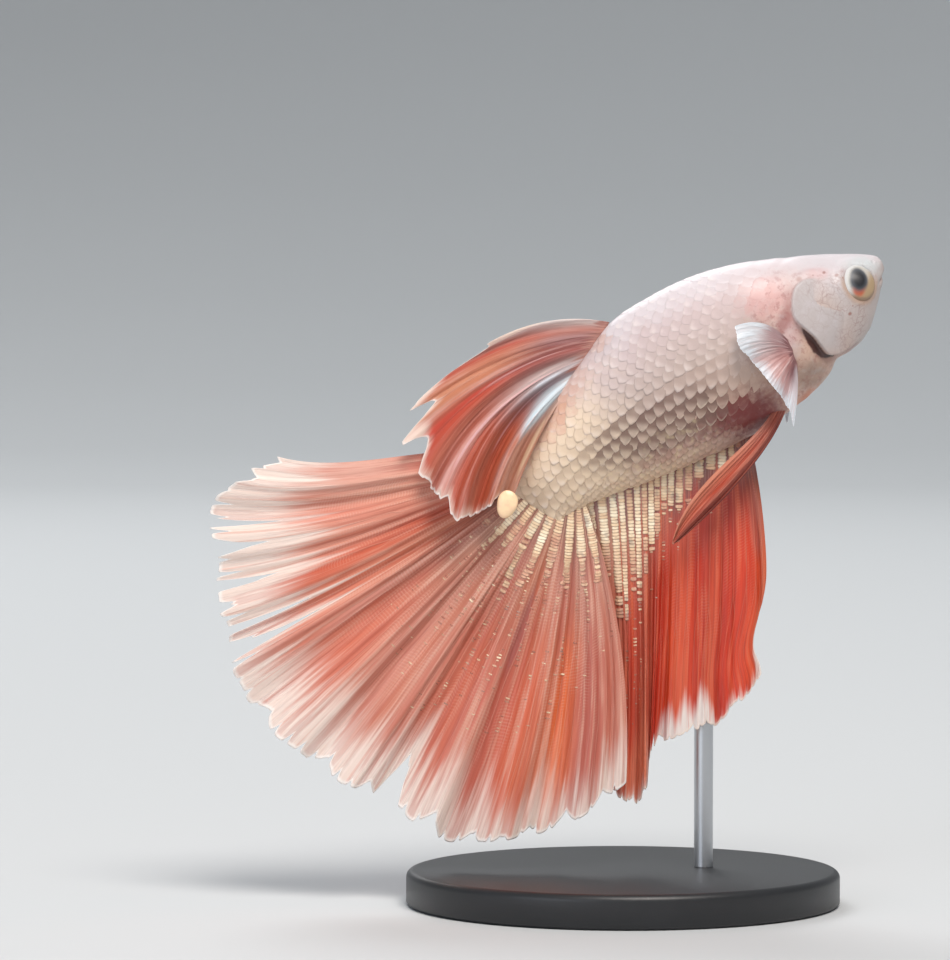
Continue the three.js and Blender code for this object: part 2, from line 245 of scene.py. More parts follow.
def addTube(name, points, material, marks={}):
    # a piece from rings of points, closed at both ends; marks are values at those points
    rows, columns = points.shape[:2]
    faces = gridFaces(rows, columns, wrapped=True)
    first, last, lastRing = rows * columns, rows * columns + 1, (rows - 1) * columns
    for k in range(columns):
        after = (k + 1) % columns
        faces += [[first, k, after], [last, lastRing + after, lastRing + k]]

    def closed(values):
        ends = [values[0].mean(0).ravel(), values[-1].mean(0).ravel()]
        return np.concatenate([values.reshape(rows * columns, -1), ends])

    flat = closed(points)
    attributes = {key: closed(values).squeeze() for key, values in marks.items()}
    return addMesh(name, flat, facingOut(flat, faces), material, attributes)


def settle(piece, nodes=()):
    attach(piece, "root")
    if nodes:
        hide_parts(*nodes)


def runTree(piece, tree, values):
    # the tree's result becomes the piece's own plain mesh
    modifier = piece.modifiers.new("grow", "NODES")
    modifier.node_group = tree
    for item in tree.interface.items_tree:
        if item.name in values:
            modifier[item.identifier] = values[item.name]
    evaluated = piece.evaluated_get(bpy.context.evaluated_depsgraph_get())
    mesh = bpy.data.meshes.new_from_object(evaluated)
    piece.modifiers.clear()
    piece.data = mesh
    return piece


# shape of the body: back x, back z, belly x, belly z, half the width, from lips to tail
body = {
    "stations": [
        [38.4, 27.6, 39.1, 26.6, 1.1], [37.2, 27.9, 38.9, 25.0, 2.2], [34.8, 28.0, 38.3, 22.0, 3.2],
        [31.0, 27.9, 36.9, 18.3, 4.1], [26.5, 27.5, 33.8, 15.2, 4.8], [21.3, 26.8, 30.4, 11.6, 5.1],
        [16.1, 25.2, 25.3, 7.9, 5.1], [11.5, 22.9, 20.7, 5.5, 4.9], [7.5, 20.2, 16.7, 3.7, 4.5],
        [4.6, 16.3, 12.6, 2.0, 3.9], [1.5, 12.0, 8.8, 0.6, 3.2], [-1.7, 7.7, 5.9, -0.5, 2.4],
        [-4.2, 4.0, 3.6, -1.6, 1.6], [-4.9, 1.4, 1.6, -3.0, 0.3],
    ],
    "tailStation": 12,  # the last station is the scaled foot of the tail fin
    "halvings": 40,  # of the search for a place on the skin
    "widestShare": 0.45,  # of the height, from the back
    "keelPower": 1.25,  # above 1 the belly narrows to a keel
    "snoutRound": 0.6,  # stations over which the lips round off
    "headTurn": 0.32, "neck": 24, "neckEase": 6,  # the head turns to the left ahead of the neck
    "flankBow": 0.9,  # and the trunk bows to the right
    "coatDepth": 0.12,  # the skin lies this far inside the solids, under the scales
}
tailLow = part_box("tail_root")[0] / mm
lastSection = body["stations"][body["tailStation"]]
tailRoot = np.array([tailLow.x - lastSection[0], 0, tailLow.z - lastSection[3]])


def spline(rows, t):
    rows, t = np.asarray(rows, float), np.asarray(t, float)
    padded = np.vstack([2 * rows[0] - rows[1], rows, 2 * rows[-1] - rows[-2]])
    i = np.clip(t.astype(int), 0, len(rows) - 2)
    f = (t - i)[..., None]
    before, here, after, beyond = (padded[i + k] for k in range(4))
    slopeIn, slopeOut = (after - before) / 2, (beyond - here) / 2
    cubic = 2 * here - 2 * after + slopeIn + slopeOut
    square = 3 * after - 3 * here - 2 * slopeIn - slopeOut
    return ((cubic * f + square) * f + slopeIn) * f + here


def smooth(low, high, x):
    s = np.clip((x - low) / (high - low), 0, 1)
    return s * s * (3 - 2 * s)


def runningLength(points):
    return np.concatenate([[0], np.cumsum(np.linalg.norm(np.diff(points, axis=0), axis=1))])


def hump(x, width):
    return np.exp(-((x / width) ** 2))


def unit(vectors):
    return vectors / np.maximum(np.linalg.norm(vectors, axis=-1, keepdims=True), 1e-9)


def sway(t):
    row = spline(body["stations"], t)
    past = np.maximum(0, (row[..., 0] + row[..., 2]) / 2 - body["neck"])
    turned = body["headTurn"] * past**2 / (past + body["neckEase"])
    return turned - body["flankBow"] * np.sin(np.pi * np.clip(t / body["tailStation"], 0, 1)) ** 2


def section(t, grow=0.0):
    t = np.asarray(t, float)
    row = spline(body["stations"], t)
    zero = np.zeros_like(t)
    back = np.stack([row[..., 0], zero, row[..., 1]], -1)
    belly = np.stack([row[..., 2], zero, row[..., 3]], -1)
    up = unit(back - belly)
    ahead = np.stack([up[..., 2], zero, -up[..., 0]], -1)
    back, belly = back + up * grow, belly - up * grow
    middle = back + (belly - back) * body["widestShare"]
    rounding = np.clip(t / body["snoutRound"], 0, 1)
    size = np.sqrt(1 - (1 - rounding) ** 2)[..., None]
    step = 0.05
    t0, t1 = np.maximum(t - step, 0), np.minimum(t + step, len(body["stations"]) - 1)
    change = spline(body["stations"], t1) - spline(body["stations"], t0)
    run = np.hypot(change[..., 0] + change[..., 2], change[..., 1] + change[..., 3]) / 2
    yaw = np.arctan2(sway(t0) - sway(t1), run)[..., None]
    left = np.array([0.0, 1.0, 0.0]) * np.cos(yaw) - ahead * np.sin(yaw)
    shifted = middle + np.stack([zero, sway(t), zero], -1) + ahead * (grow * (1 - rounding))[..., None]
    half = row[..., 4:5] + grow
    return shifted, (back - middle) * size, (belly - middle) * size, left * half * size, ahead


def skinPoint(t, angle, grow=0.0):
    # the angle runs from the back over the left side, the belly and the right side
    middle, back, belly, left, _ = section(t, grow)
    rise, width = np.cos(angle)[..., None], np.sin(angle)[..., None]
    width = np.where(rise < 0, np.sign(width) * np.abs(width) ** body["keelPower"], width)
    return middle + np.where(rise > 0, back, belly) * np.abs(rise) + left * width


def planPlace(t, angle):
    # the place in the fish's middle plane that a point of the skin stands beside: x, z, side
    middle, back, belly, _, _ = section(t)
    rise = np.cos(angle)[..., None]
    point = middle + np.where(rise > 0, back, belly) * np.abs(rise)
    return np.stack([point[..., 0], point[..., 2], np.sin(angle) + 0 * point[..., 0]], -1)


def skinNormal(t, angle):
    step = 0.02
    along = skinPoint(t + step, angle) - skinPoint(np.maximum(t - step, 0), angle)
    around = skinPoint(t, angle + step) - skinPoint(t, angle - step)
    return unit(np.cross(around, along)), unit(along)


def placeOnSkin(x, z, side):
    # the skin's station and angle straight out to one side of a place in the middle plane
    # each turn halves the stretch of stations that the place can lie in
    low, high = 0.0, float(body["tailStation"])
    for _ in range(body["halvings"]):
        t = (low + high) / 2
        backX, backZ, bellyX, bellyZ, _ = spline(body["stations"], t)
        if (bellyZ - backZ) * (x - backX) - (bellyX - backX) * (z - backZ) < 0:
            high = t
        else:
            low = t
    share = math.hypot(x - backX, z - backZ) / math.hypot(bellyX - backX, bellyZ - backZ)
    widest = body["widestShare"]
    rise = 1 - share / widest if share < widest else (widest - share) / (1 - widest)
    return t, side * math.acos(max(-1, min(1, rise)))


# colours of skin and scales
# gap is the colour of the painted shadow between the scales
bodyLook = {
    "belly": "#cba796", "lowFlank": "#bfa190", "flank": "#c8b4ab", "highFlank": "#c9b5b4", "back": "#dbd2d6",
    "tailGold": "#f2d8b8", "tailBack": "#d8a48a", "breast": "#c9744f", "throat": "#7e6657", "rose": "#cbaaa8",
    "blush": "#d0857f", "bruise": "#8e4a46", "bellyRed": "#6e1b17", "finBase": "#a8746a", "brow": "#c9cfd1",
    "head": "#cdc7cb", "jaw": "#b2abaa", "cover": "#b7b0b0", "gap": "#6a4b40", "vein": "#8c6862",
    "gill": "#46211e", "chin": "#1c1612", "orbit": "#b08e76", "freckle": "#8d5b50",
}
bodyTones = [(0.04, "belly"), (0.26, "lowFlank"), (0.5, "flank"), (0.78, "highFlank"), (0.97, "back")]
# where markings fade in: stations, heights (-1 at the belly, 1 at the back), and places x and z
fades = {
    "tail": (8.0, 10.4), "tailLow": (-0.55, -0.9), "tailBack": (0.45, 0.9), "head": (3.2, 4.4),
    "jaw": (0.7, -0.5), "coverLow": (14.5, 17.5), "coverFront": (34.5, 32.0),
    "veinFront": (37.4, 35.4), "veinRear": (3.4, 4.6), "veinTop": (0.6, 0.2),
    "shoulderRear": (6.6, 4.8), "shoulderTop": (27.0, 23.5), "orbitTop": (25.6, 23.4),
}
# soft patches of colour: name, strength, centre, half sizes, lean in radians
stains = [
    ("rose", 0.8, (27.0, 18.5), (2.8, 5.0), 0.2), ("blush", 0.5, (24.6, 22.2), (5.2, 5.0), 0.3),
    ("blush", 0.3, (30.2, 25.2), (3.2, 1.6), 0), ("bruise", 0.6, (26.4, 19.8), (1.5, 3.2), -0.2),
    ("bruise", 0.5, (27.4, 15.6), (1.4, 2.6), 0.5), ("throat", 0.6, (30.2, 13.9), (4.4, 3.8), 0),
    ("finBase", 0.6, (14.0, 5.2), (11.0, 2.2), 0.46),
    ("bellyRed", 1.0, (21.4, 9.8), (9.5, 4.0), 0.46), ("bellyRed", 1.0, (24.4, 9.2), (7.4, 4.9), 0.5),
    ("breast", 0.85, (30.2, 11.3), (3.8, 1.7), 0.75), ("brow", 0.9, (35.6, 26.2), (4.4, 2.4), 0),
    ("tailBack", 0.8, (2.0, 9.6), (1.6, 6.0), -0.32), ("tailBack", 0.5, (6.4, 18.0), (3.0, 1.7), 0.9),
]


def bodyColour(g):
    # the markings shared by the skin and its scales, by place in the fish's middle plane
    x, z, _ = g.parts(g.attribute("plan", "Vector"))
    rise, station = g.attribute("rise"), g.attribute("station")
    here = g.place()
    cloud, grain = g.noise(here, 0.35, 3), g.noise(here, 1.6, 3)
    stops = [(place, bodyLook[name]) for place, name in bodyTones]
    colour = g.ramp(rise * 0.5 + 0.5 + (cloud - 0.5) * 0.16, stops)
    early = g.rising(*fades["tailLow"], rise) * 1.5
    tail = g.rising(*fades["tail"], station + (cloud - 0.5) * 1.6 + early)
    high = g.rising(*fades["tailBack"], rise + (grain - 0.5) * 0.3)
    tailTone = g.mix(high, bodyLook["tailGold"], bodyLook["tailBack"])
    colour = g.mix(tail * 0.85, colour, tailTone)
    cheek = g.mix(g.rising(*fades["jaw"], rise + (cloud - 0.5) * 0.4), bodyLook["head"], bodyLook["jaw"])
    colour = g.mix((1 - g.rising(*fades["head"], station)) * 0.8, colour, cheek)
    for name, share, centre, size, lean in stains:
        mask = g.spot(x, z, centre, size, lean, 0.1)
        ragged = g.rising(0.1, 1.0, mask + (grain - 0.5) * 0.9)
        colour = g.mix(ragged * mask * share, colour, bodyLook[name])
    return colour


def skinMaterial():
    material, g = newMaterial("pale_skin")
    x, z, _ = g.parts(g.attribute("plan", "Vector"))
    here = g.place()
    edge, share, ring = g.attribute("gillEdge"), g.attribute("gillShare"), g.attribute("eyeRing")
    station = g.attribute("station")
    colour = bodyColour(g)
    cover = g.rising(-0.1, 0.15, edge) * g.rising(0.0, 0.12, share)
    cover = cover * g.rising(*fades["coverLow"], z) * g.rising(*fades["coverFront"], x)
    colour = g.mix(cover * 0.85, colour, bodyLook["cover"])
    mottling = g.rising(0.45, 0.7, g.noise(here, 0.7, 3))
    colour = g.mix(cover * mottling * 0.25, colour, bodyLook["head"])
    # fine brown veins over the cheek and gill cover, fainter on the shoulder
    drift = g.node("ShaderNodeTexNoise", {}, {"Vector": here, "Scale": 0.8}, "Color")
    warped = g.vector("ADD", g.scaled(here, 0.9), g.scaled(drift, 1.6))
    veined = (0.35 + 0.65 * g.rising(0.3, 0.6, g.noise(here, 0.45, 2))) * g.rising(*fades["veinFront"], x)
    veined = veined * (1 - 0.75 * g.rising(*fades["veinRear"], station))
    veined = veined * g.rising(*fades["veinTop"], g.attribute("rise"))
    for scale, width, strength in ((0.75, 0.07, 0.42), (1.7, 0.1, 0.26)):
        cells = {"Vector": warped, "Scale": scale}
        veins = g.node("ShaderNodeTexVoronoi", {"feature": "DISTANCE_TO_EDGE"}, cells, "Distance")
        colour = g.mix((1 - g.rising(0.0, width, veins)) * veined * strength, colour, bodyLook["vein"])
    # blotches of the shoulder, then freckles
    shoulder = g.rising(0.2, -0.6, edge) * g.rising(*fades["shoulderRear"], station)
    blotch = g.rising(0.5, 0.7, g.noise(here, 1.3, 4, 0.65))
    colour = g.mix(shoulder * blotch * g.rising(*fades["shoulderTop"], z) * 0.5, colour, bodyLook["bruise"])
    colour = g.mix(shoulder * g.rising(0.45, 0.8, g.noise(here, 1.0, 2)) * 0.2, colour, bodyLook["brow"])
    for centre, size, depth in freckles:
        colour = g.mix(g.spot(x, z, centre, (size, size * 0.8), 0.4) * depth, colour, bodyLook["freckle"])
    # painted shade along the mouth's crease, in the freckles' colour
    mouth = g.spot(x, z, *mouthShade)
    colour = g.mix(mouth * 0.5, colour, bodyLook["freckle"])
    # the eye's tan rim, widest below
    below = g.rising(*fades["orbitTop"], z)
    rim = g.rising(1.3, 1.02, ring + (g.noise(here, 1.5) - 0.5) * 0.2)
    colour = g.mix(rim * (0.04 + 0.6 * below), colour, bodyLook["orbit"])
    # the gill opening behind the cover's edge: painted shade inside it in the gills' dark red, turning to the
    # black fringe under the chin, and a soft reddish darkening just behind the rest of the edge
    width = g.ramp(share, gillWidths) * 2
    inside = g.rising(0.16, -0.1, 0 - edge - width + (g.noise(here, 1.6) - 0.5) * 0.3)
    behind = g.rising(0.05, -0.06, edge)
    gillShadeAndChin = g.mix(g.rising(0.78, 0.86, share), bodyLook["gill"], bodyLook["chin"])
    colour = g.mix(behind * inside * g.rising(0.5, 0.56, share) * 0.96, colour, gillShadeAndChin)
    soft = g.rising(-1.3, -0.1, edge) * g.rising(0.12, 0.3, share)
    colour = g.mix(behind * soft * (1 - inside) * 0.4, colour, bodyLook["bruise"])
    pores = g.noise(here, 9.0, 3)
    showGloss(g, colour, 0.4 + pores * 0.16, (0.25, 0.35), (pores, 0.04, 0.5))
    return material


# the skin, one piece from lips to tail
skin = {
    "around": 240,
    "headStep": 0.12, "bodyStep": 0.3,  # between rows
    "headEnd": 4.9,  # in stations
    "orbitRise": 0.12, "socketDepth": 0.42,
    "coverRise": 0.34, "coverFade": 2.2, "gillDepth": 0.5, "gillFade": 1.1, "cheekGroove": 0.09,
    "lip": 0.07, "gape": 0.24, "gillSteps": 60,
    "nostril": (37.1, 26.7), "nostrilRadius": 0.32,
    "throatNotch": (34.2, 15.0), "finPad": (29.4, 15.4), "finPadHalf": (0.9, 1.7),
    "browRise": 0.16, "wrinkleCentre": (31, 20), "wrinkleRise": 0.035,
    "farRing": 9.0,  # eye radii, for all points away from the eyes
}
eye = {"x": 35.3, "z": 24.2, "radius": 2.24, "depth": 1.15, "proud": 0.5, "forward": 0.4}
gillEdge = [
    [30.9, 24.4], [29.4, 24.6], [28.3, 24.3], [27.4, 23.5], [27.1, 22.3], [27.15, 21.0], [27.6, 19.9],
    [28.6, 18.9], [29.8, 17.9], [30.8, 16.8], [31.8, 16.0], [33.0, 16.1], [34.0, 16.6], [34.8, 17.2],
]
preopercle = [[30.6, 24.1], [31.9, 23.3], [32.8, 22.0], [33.2, 20.4], [33.2, 18.4]]
mouthLine = [[39.6, 26.2], [38.9, 25.4], [38.2, 24.6], [37.9, 23.8]]
freckles = [  # centre, size, depth
    ((30.9, 25.3), 0.3, 0.7), ((32.3, 24.9), 0.34, 0.6), ((33.0, 24.6), 0.2, 0.5), ((33.9, 20.5), 0.34, 0.8),
    ((28.0, 24.6), 0.5, 0.5), ((34.2, 21.4), 0.18, 0.5), ((29.6, 25.0), 0.2, 0.4),
]
mouthShade = ((38.7, 25.2), (1.5, 0.2), 0.9)  # centre, half sizes, lean
gillWidths = [  # along the gill edge, half the dark opening's width
    (0.5, 0.0), (0.56, 0.14), (0.64, 0.42), (0.71, 0.46), (0.78, 0.32), (0.84, 0.2), (0.95, 0.26), (1, 0.1),
]


def pathDistance(places, path):
    # distance to a path, positive on its left as it runs, and how far along it as a share
    path = np.asarray(path, float)
    lengths = np.linalg.norm(np.diff(path, axis=0), axis=1)
    best = np.full(places.shape[:-1], np.inf)
    share, sign = np.zeros_like(best), np.ones_like(best)
    done = 0.0
    for start, end, length in zip(path[:-1], path[1:], lengths):
        run = (end - start) / length
        offset = places - start
        on = np.clip(offset @ run, 0, length)
        gap = np.linalg.norm(offset - on[..., None] * run, axis=-1)
        side = np.sign(offset[..., 1] * run[0] - offset[..., 0] * run[1])
        closer = gap < best
        best, sign = np.where(closer, gap, best), np.where(closer, side, sign)
        share = np.where(closer, (done + on) / lengths.sum(), share)
        done += length
    return best * sign, share


def eyeFrame(side):
    # the eye's centre, and its directions outward, forward and up
    t, angle = placeOnSkin(eye["x"], eye["z"], side)
    _, _, _, left, ahead = section(np.array(t))
    outward = unit(unit(left) * side + ahead * eye["forward"])
    centre = skinPoint(np.array(t), np.array(angle)) + outward * (eye["proud"] - eye["depth"])
    forward = unit(ahead - outward * (ahead @ outward))
    up = np.cross(outward, forward) * side
    return centre, outward, forward, up * (1 if up[2] > 0 else -1)


def skinRows():
    # stations at even distances, closer on the head
    fine = np.linspace(0.004, len(body["stations"]) - 1, 3000)
    middles = section(fine)[0]
    lengths = runningLength(middles)
    headLength = np.interp(skin["headEnd"], fine, lengths)
    head = np.arange(0, headLength, skin["headStep"])
    rest = np.arange(headLength, lengths[-1], skin["bodyStep"])
    return np.interp(np.concatenate([head, rest, lengths[-1:]]), lengths, fine)


def gridNormals(points):
    # outward normals of a grid that runs along its first axis and wraps on its second
    along = np.gradient(points, axis=0)
    around = np.roll(points, -1, 1) - np.roll(points, 1, 1)
    return unit(np.cross(around, along))


def planDistance(plan, centre, half=(1.0, 1.0)):
    return np.hypot((plan[..., 0] - centre[0]) / half[0], (plan[..., 1] - centre[1]) / half[1])


def skinRelief(points, plan):
    # how far each point of the head stands out, with the marks that the material reads
    lift = np.zeros(points.shape[:-1])
    ring = np.full(points.shape[:-1], skin["farRing"])
    gillPath = spline(gillEdge, np.linspace(0, len(gillEdge) - 1, skin["gillSteps"]))
    edge, share = pathDistance(plan[..., :2], gillPath)
    shown = smooth(0.0, 0.25, share)
    inside = skin["coverRise"] * np.exp(-np.maximum(edge, 0) / skin["coverFade"]) * smooth(-0.09, 0.09, edge)
    opening = smooth(0.42, 0.66, share) * (1 - 0.6 * smooth(0.92, 1.0, share))
    behind = hump(np.maximum(-edge, 0), skin["gillFade"]) * smooth(0.09, -0.09, edge)
    lift += shown * (inside - (0.06 + skin["gillDepth"] * opening) * behind)
    groove, along = pathDistance(plan[..., :2], preopercle)
    lift -= skin["cheekGroove"] * hump(groove, 0.2) * smooth(0, 0.2, along) * smooth(1, 0.8, along)
    lift += skinWrinkles(plan) * smooth(0, -1.2, edge) * smooth(16, 21, plan[..., 0])
    gape, along = pathDistance(plan[..., :2], mouthLine)
    corner = smooth(1.0, 0.75, along)
    lift += corner * (skin["lip"] * hump(np.abs(gape) - 0.45, 0.3) - skin["gape"] * hump(gape, 0.13))
    nostril = planDistance(plan, skin["nostril"])
    lift += 0.03 * hump(nostril - skin["nostrilRadius"], 0.14) - 0.1 * hump(nostril, 0.17)
    lift -= 0.4 * hump(planDistance(plan, skin["throatNotch"]), 0.9)
    lift += 0.3 * hump(planDistance(plan, skin["finPad"], skin["finPadHalf"]), 1.0)
    for side in (1, -1):
        centre, outward, forward, up = eyeFrame(side)
        offset = points - centre
        depth = offset @ outward
        radial = np.linalg.norm(offset - depth[..., None] * outward, axis=-1)
        near = smooth(-2.6, -1.6, depth)
        ring = np.where(near > 0, np.minimum(ring, radial / eye["radius"]), ring)
        lift += near * skin["orbitRise"] * hump(radial - eye["radius"] * 1.04, 0.42)
        browShare = np.clip(((offset @ up) - (offset @ forward) * 0.3) / eye["radius"], 0, 1)
        lift += near * skin["browRise"] * browShare * hump(radial - eye["radius"] * 1.25, 0.45)
        lift -= near * skin["socketDepth"] * smooth(eye["radius"] * 0.94, eye["radius"] * 0.8, radial)
    return lift, edge, share, ring


def skinWrinkles(plan):
    # shallow folds of the smooth shoulder and throat, running round the gill cover's rear
    x, z = plan[..., 0] - skin["wrinkleCentre"][0], plan[..., 1] - skin["wrinkleCentre"][1]
    out, turn = np.hypot(x, z), np.arctan2(z, x)
    coarse = np.sin(3.4 * out + 1.3 * np.sin(3 * turn) + 2)
    fine = 0.6 * np.sin(6.1 * out + 2.1 * np.sin(5 * turn + 1))
    return skin["wrinkleRise"] * (coarse + fine) * (0.6 + 0.4 * np.sin(4 * turn + 0.5))


def makeSkin(material):
    t = skinRows()[:, None]
    angle = np.linspace(0, 2 * np.pi, skin["around"], endpoint=False)[None, :]
    points = skinPoint(t, angle, -body["coatDepth"])
    plan = planPlace(t, angle)
    lift, edge, share, ring = skinRelief(points, plan)
    points = points + gridNormals(points) * lift[..., None]
    marks = {
        "plan": plan, "rise": np.cos(angle) + 0 * t, "station": t + 0 * angle,
        "gillEdge": edge, "gillShare": share, "eyeRing": ring,
    }
    return addTube("skin", points, material, marks)


skinPiece = makeSkin(skinMaterial())
settle(skinPiece, ["head", "trunk", "tail_root", "gill_cover_left", "gill_cover_right"])
print("skin made", len(skinPiece.data.polygons))


# geometry trees
def newTree(name, sizes, withSurface=False):
    tree = bpy.data.node_groups.new(name, "GeometryNodeTree")
    sockets = [("Geometry", "NodeSocketGeometry"), ("Finish", "NodeSocketMaterial")]
    sockets += [("Surface", "NodeSocketObject")] if withSurface else []
    for label, kind in sockets + [(size, "NodeSocketFloat") for size in sizes]:
        tree.interface.new_socket(label, in_out="INPUT", socket_type=kind)
    tree.interface.new_socket("Geometry", in_out="OUTPUT", socket_type="NodeSocketGeometry")
    g = Graph(tree)
    return tree, g, g.node("NodeGroupInput")


def named(g, name, kind="FLOAT"):
    return g.node("GeometryNodeInputNamedAttribute", {"data_type": kind}, {"Name": name}, "Attribute")


def namedVector(g, name):
    return named(g, name, "FLOAT_VECTOR")


def endTree(g, geometry, finish):
    whole = g.node("GeometryNodeRealizeInstances", {}, {0: geometry})
    smoothed = g.node("GeometryNodeSetShadeSmooth", {}, {0: whole})
    painted = g.node("GeometryNodeSetMaterial", {}, {"Geometry": smoothed, "Material": finish})
    g.node("NodeGroupOutput", {}, {"Geometry": painted})


bakeHalf = 0.0015  # half of one plate's patch on the OFBake map


def plateTree():
    # rounded plates, one at each point, laid on a surface as the point's own directions say
    tree, g, given = newTree("plates", ["Length", "Width", "Lift", "Square", "Point"], withSurface=True)
    counts = {"Size X": 1.0, "Size Y": 1.0, "Vertices X": 5, "Vertices Y": 13}
    grid = g.node("GeometryNodeMeshGrid", {}, counts)
    across, turn, _ = g.parts(g.node("GeometryNodeInputPosition"))
    radius = 1 - (0.5 - across) ** 1.8  # rings close up towards the rim
    turn = (turn + 0.5) * (2 * math.pi)
    corner = 1 - 0.6 * given.output("Square")

    def squared(wave):
        return g.math("SIGN", wave) * wave.size() ** corner * radius

    local = g.join(squared(turn.cosine()), squared(turn.sine()), radius)
    store = {"data_type": "FLOAT_VECTOR", "domain": "POINT"}
    layer = {"Geometry": grid, "Name": "local", "Value": local}
    tile = g.node("GeometryNodeStoreNamedAttribute", store, layer)
    lengthwise, sideways, radius = g.parts(namedVector(g, "local"))
    narrowed = 1 - given.output("Point") * g.rising(0.1, 1.1, lengthwise)
    half = given.output("Length") * 0.5, given.output("Width") * 0.5
    outline = g.join(lengthwise * half[0], sideways * narrowed * half[1])
    tile = g.node("GeometryNodeSetPosition", {}, {"Geometry": tile, "Position": outline})
    tile = g.node("GeometryNodeMergeByDistance", {}, {"Geometry": tile, "Distance": 1e-7})
    axes = {"Primary Axis": namedVector(g, "face"), "Secondary Axis": namedVector(g, "lie")}
    turned = g.node("FunctionNodeAxesToRotation", {"primary_axis": "Z", "secondary_axis": "X"}, axes)
    placed = {"Points": given, "Instance": tile, "Rotation": turned, "Scale": namedVector(g, "size")}
    copies = g.node("GeometryNodeInstanceOnPoints", {}, placed)
    plates = g.node("GeometryNodeRealizeInstances", {}, {0: copies})
    surface = g.node("GeometryNodeObjectInfo", {}, {"Object": given.output("Surface")}, "Geometry")
    here = g.node("GeometryNodeInputPosition")
    probe = {0: surface, "Sample Position": here}
    under = g.node("GeometryNodeProximity", {"target_element": "FACES"}, probe, "Position")
    sampled = {"Mesh": surface, "Value": g.node("GeometryNodeInputNormal"), "Sample Position": here}
    out = g.node("GeometryNodeSampleNearestSurface", {"data_type": "FLOAT_VECTOR"}, sampled, "Value")
    rim = g.rising(0.9, 1.0, radius)
    height = (0.15 + 0.85 * g.rising(-1.0, 0.8, lengthwise)) * (1 - rim) - rim * 0.15
    lifted = g.vector("ADD", under, g.scaled(out, height * given.output("Lift") * named(g, "relief")))
    plates = g.node("GeometryNodeSetPosition", {}, {"Geometry": plates, "Position": lifted})
    patch = g.vector("ADD", namedVector(g, "bakeRoot"), g.scaled(namedVector(g, "local"), bakeHalf))
    layer = {"Geometry": plates, "Name": "OFBake", "Value": patch}
    plates = g.node("GeometryNodeStoreNamedAttribute", {"data_type": "FLOAT2", "domain": "CORNER"}, layer)
    endTree(g, plates, given.output("Finish"))
    return tree


def rayTree():
    # a round, tapering thread along each line of the mesh
    tree, g, given = newTree("rays", ["Thickness"])
    lines = g.node("GeometryNodeMeshToCurve", {}, {0: given})
    ring = g.node("GeometryNodeCurvePrimitiveCircle", {"mode": "RADIUS"}, {"Resolution": 6, "Radius": 1.0})
    thick = named(g, "thick") * given.output("Thickness")
    tubes = {"Curve": lines, "Profile Curve": ring, "Scale": thick, "Fill Caps": True}
    endTree(g, g.node("GeometryNodeCurveToMesh", {}, tubes), given.output("Finish"))
    return tree


plates, threads = plateTree(), rayTree()

# scales
coat = {
    "pitch": 1.3, "rowAbove": 0.95, "rowBelow": 1.35,
    "length": 2.2, "width": 1.8, "lift": 0.13, "point": 0.5,
    "lean": (0.25, 1.0),  # how far the free edges turn towards the belly, high and low on the flank
    "first": 4.4, "last": 13.0,  # stations
    "front": 23.4, "frontWave": 0.9, "fade": (18.5, 23.5),
    "small": 0.6, "smallFrom": -0.72, "smallStart": 5.2,  # the smaller scales along the belly
    "rowsEachWay": 30, "clearance": 0.3,  # from the middle lines of back and belly
    "samples": (700, 181),  # along the flank and from back to belly
    "unwrapLength": 13.2,  # stations over the whole height of the OFBake map
    "stray": 0.01, "strayAngle": 0.006, "straySize": 0.045, "strayTurn": 0.07,
    # pale is the scales' painted sheen, gold their painted glints
    "pale": "#efe2dc", "edge": "#a4786c", "lowEdge": "#e2ccb8", "greyCentre": "#74655c", "gold": "#efd9ae",
    "greyBand": ((13.2, 8.2), (13.0, 4.3), 0.44),  # centre, half sizes and lean of the darker scales
}


def scaleRoots():
    # rows run at even distances from the line of widest points, each shifted half a scale
    stationSamples, turnSamples = coat["samples"]
    stations = np.linspace(coat["first"], coat["last"], stationSamples)
    sideLine = skinPoint(stations, np.full_like(stations, np.pi / 2))
    lengths = runningLength(sideLine)
    turns = np.linspace(0, np.pi, turnSamples)
    roots = []
    for size in (1.0, coat["small"]):
        for i in range(int(2 * lengths[-1] / coat["pitch"] / size) + 1):
            t = np.interp(i * coat["pitch"] / 2 * size, lengths, stations)
            ring = skinPoint(np.full_like(turns, t), turns)
            arc = runningLength(ring)
            widest = np.interp(np.pi / 2, turns, arc)
            for j in range(-coat["rowsEachWay"], coat["rowsEachWay"] + 1):
                away = widest + j * size * (coat["rowBelow"] if j > 0 else coat["rowAbove"])
                if (i + j) % 2 == 0 and coat["clearance"] < away < arc[-1] - coat["clearance"]:
                    roots += [(t, side * np.interp(away, arc, turns), size) for side in (1, -1)]
    t, angle, size = np.array(roots).T
    plan = planPlace(t, angle)
    line = coat["smallFrom"] + 0.04 * np.sin(t * 3.1) + 0.03 * np.sin(t * 7.3 + 1)
    low = (np.cos(angle) < line) & (t > coat["smallStart"])
    front = coat["front"] + coat["frontWave"] * np.sin(plan[:, 1] * 1.1)
    kept = (plan[:, 0] < front) & (low == (size < 1))
    return t[kept], angle[kept], plan[kept], size[kept]


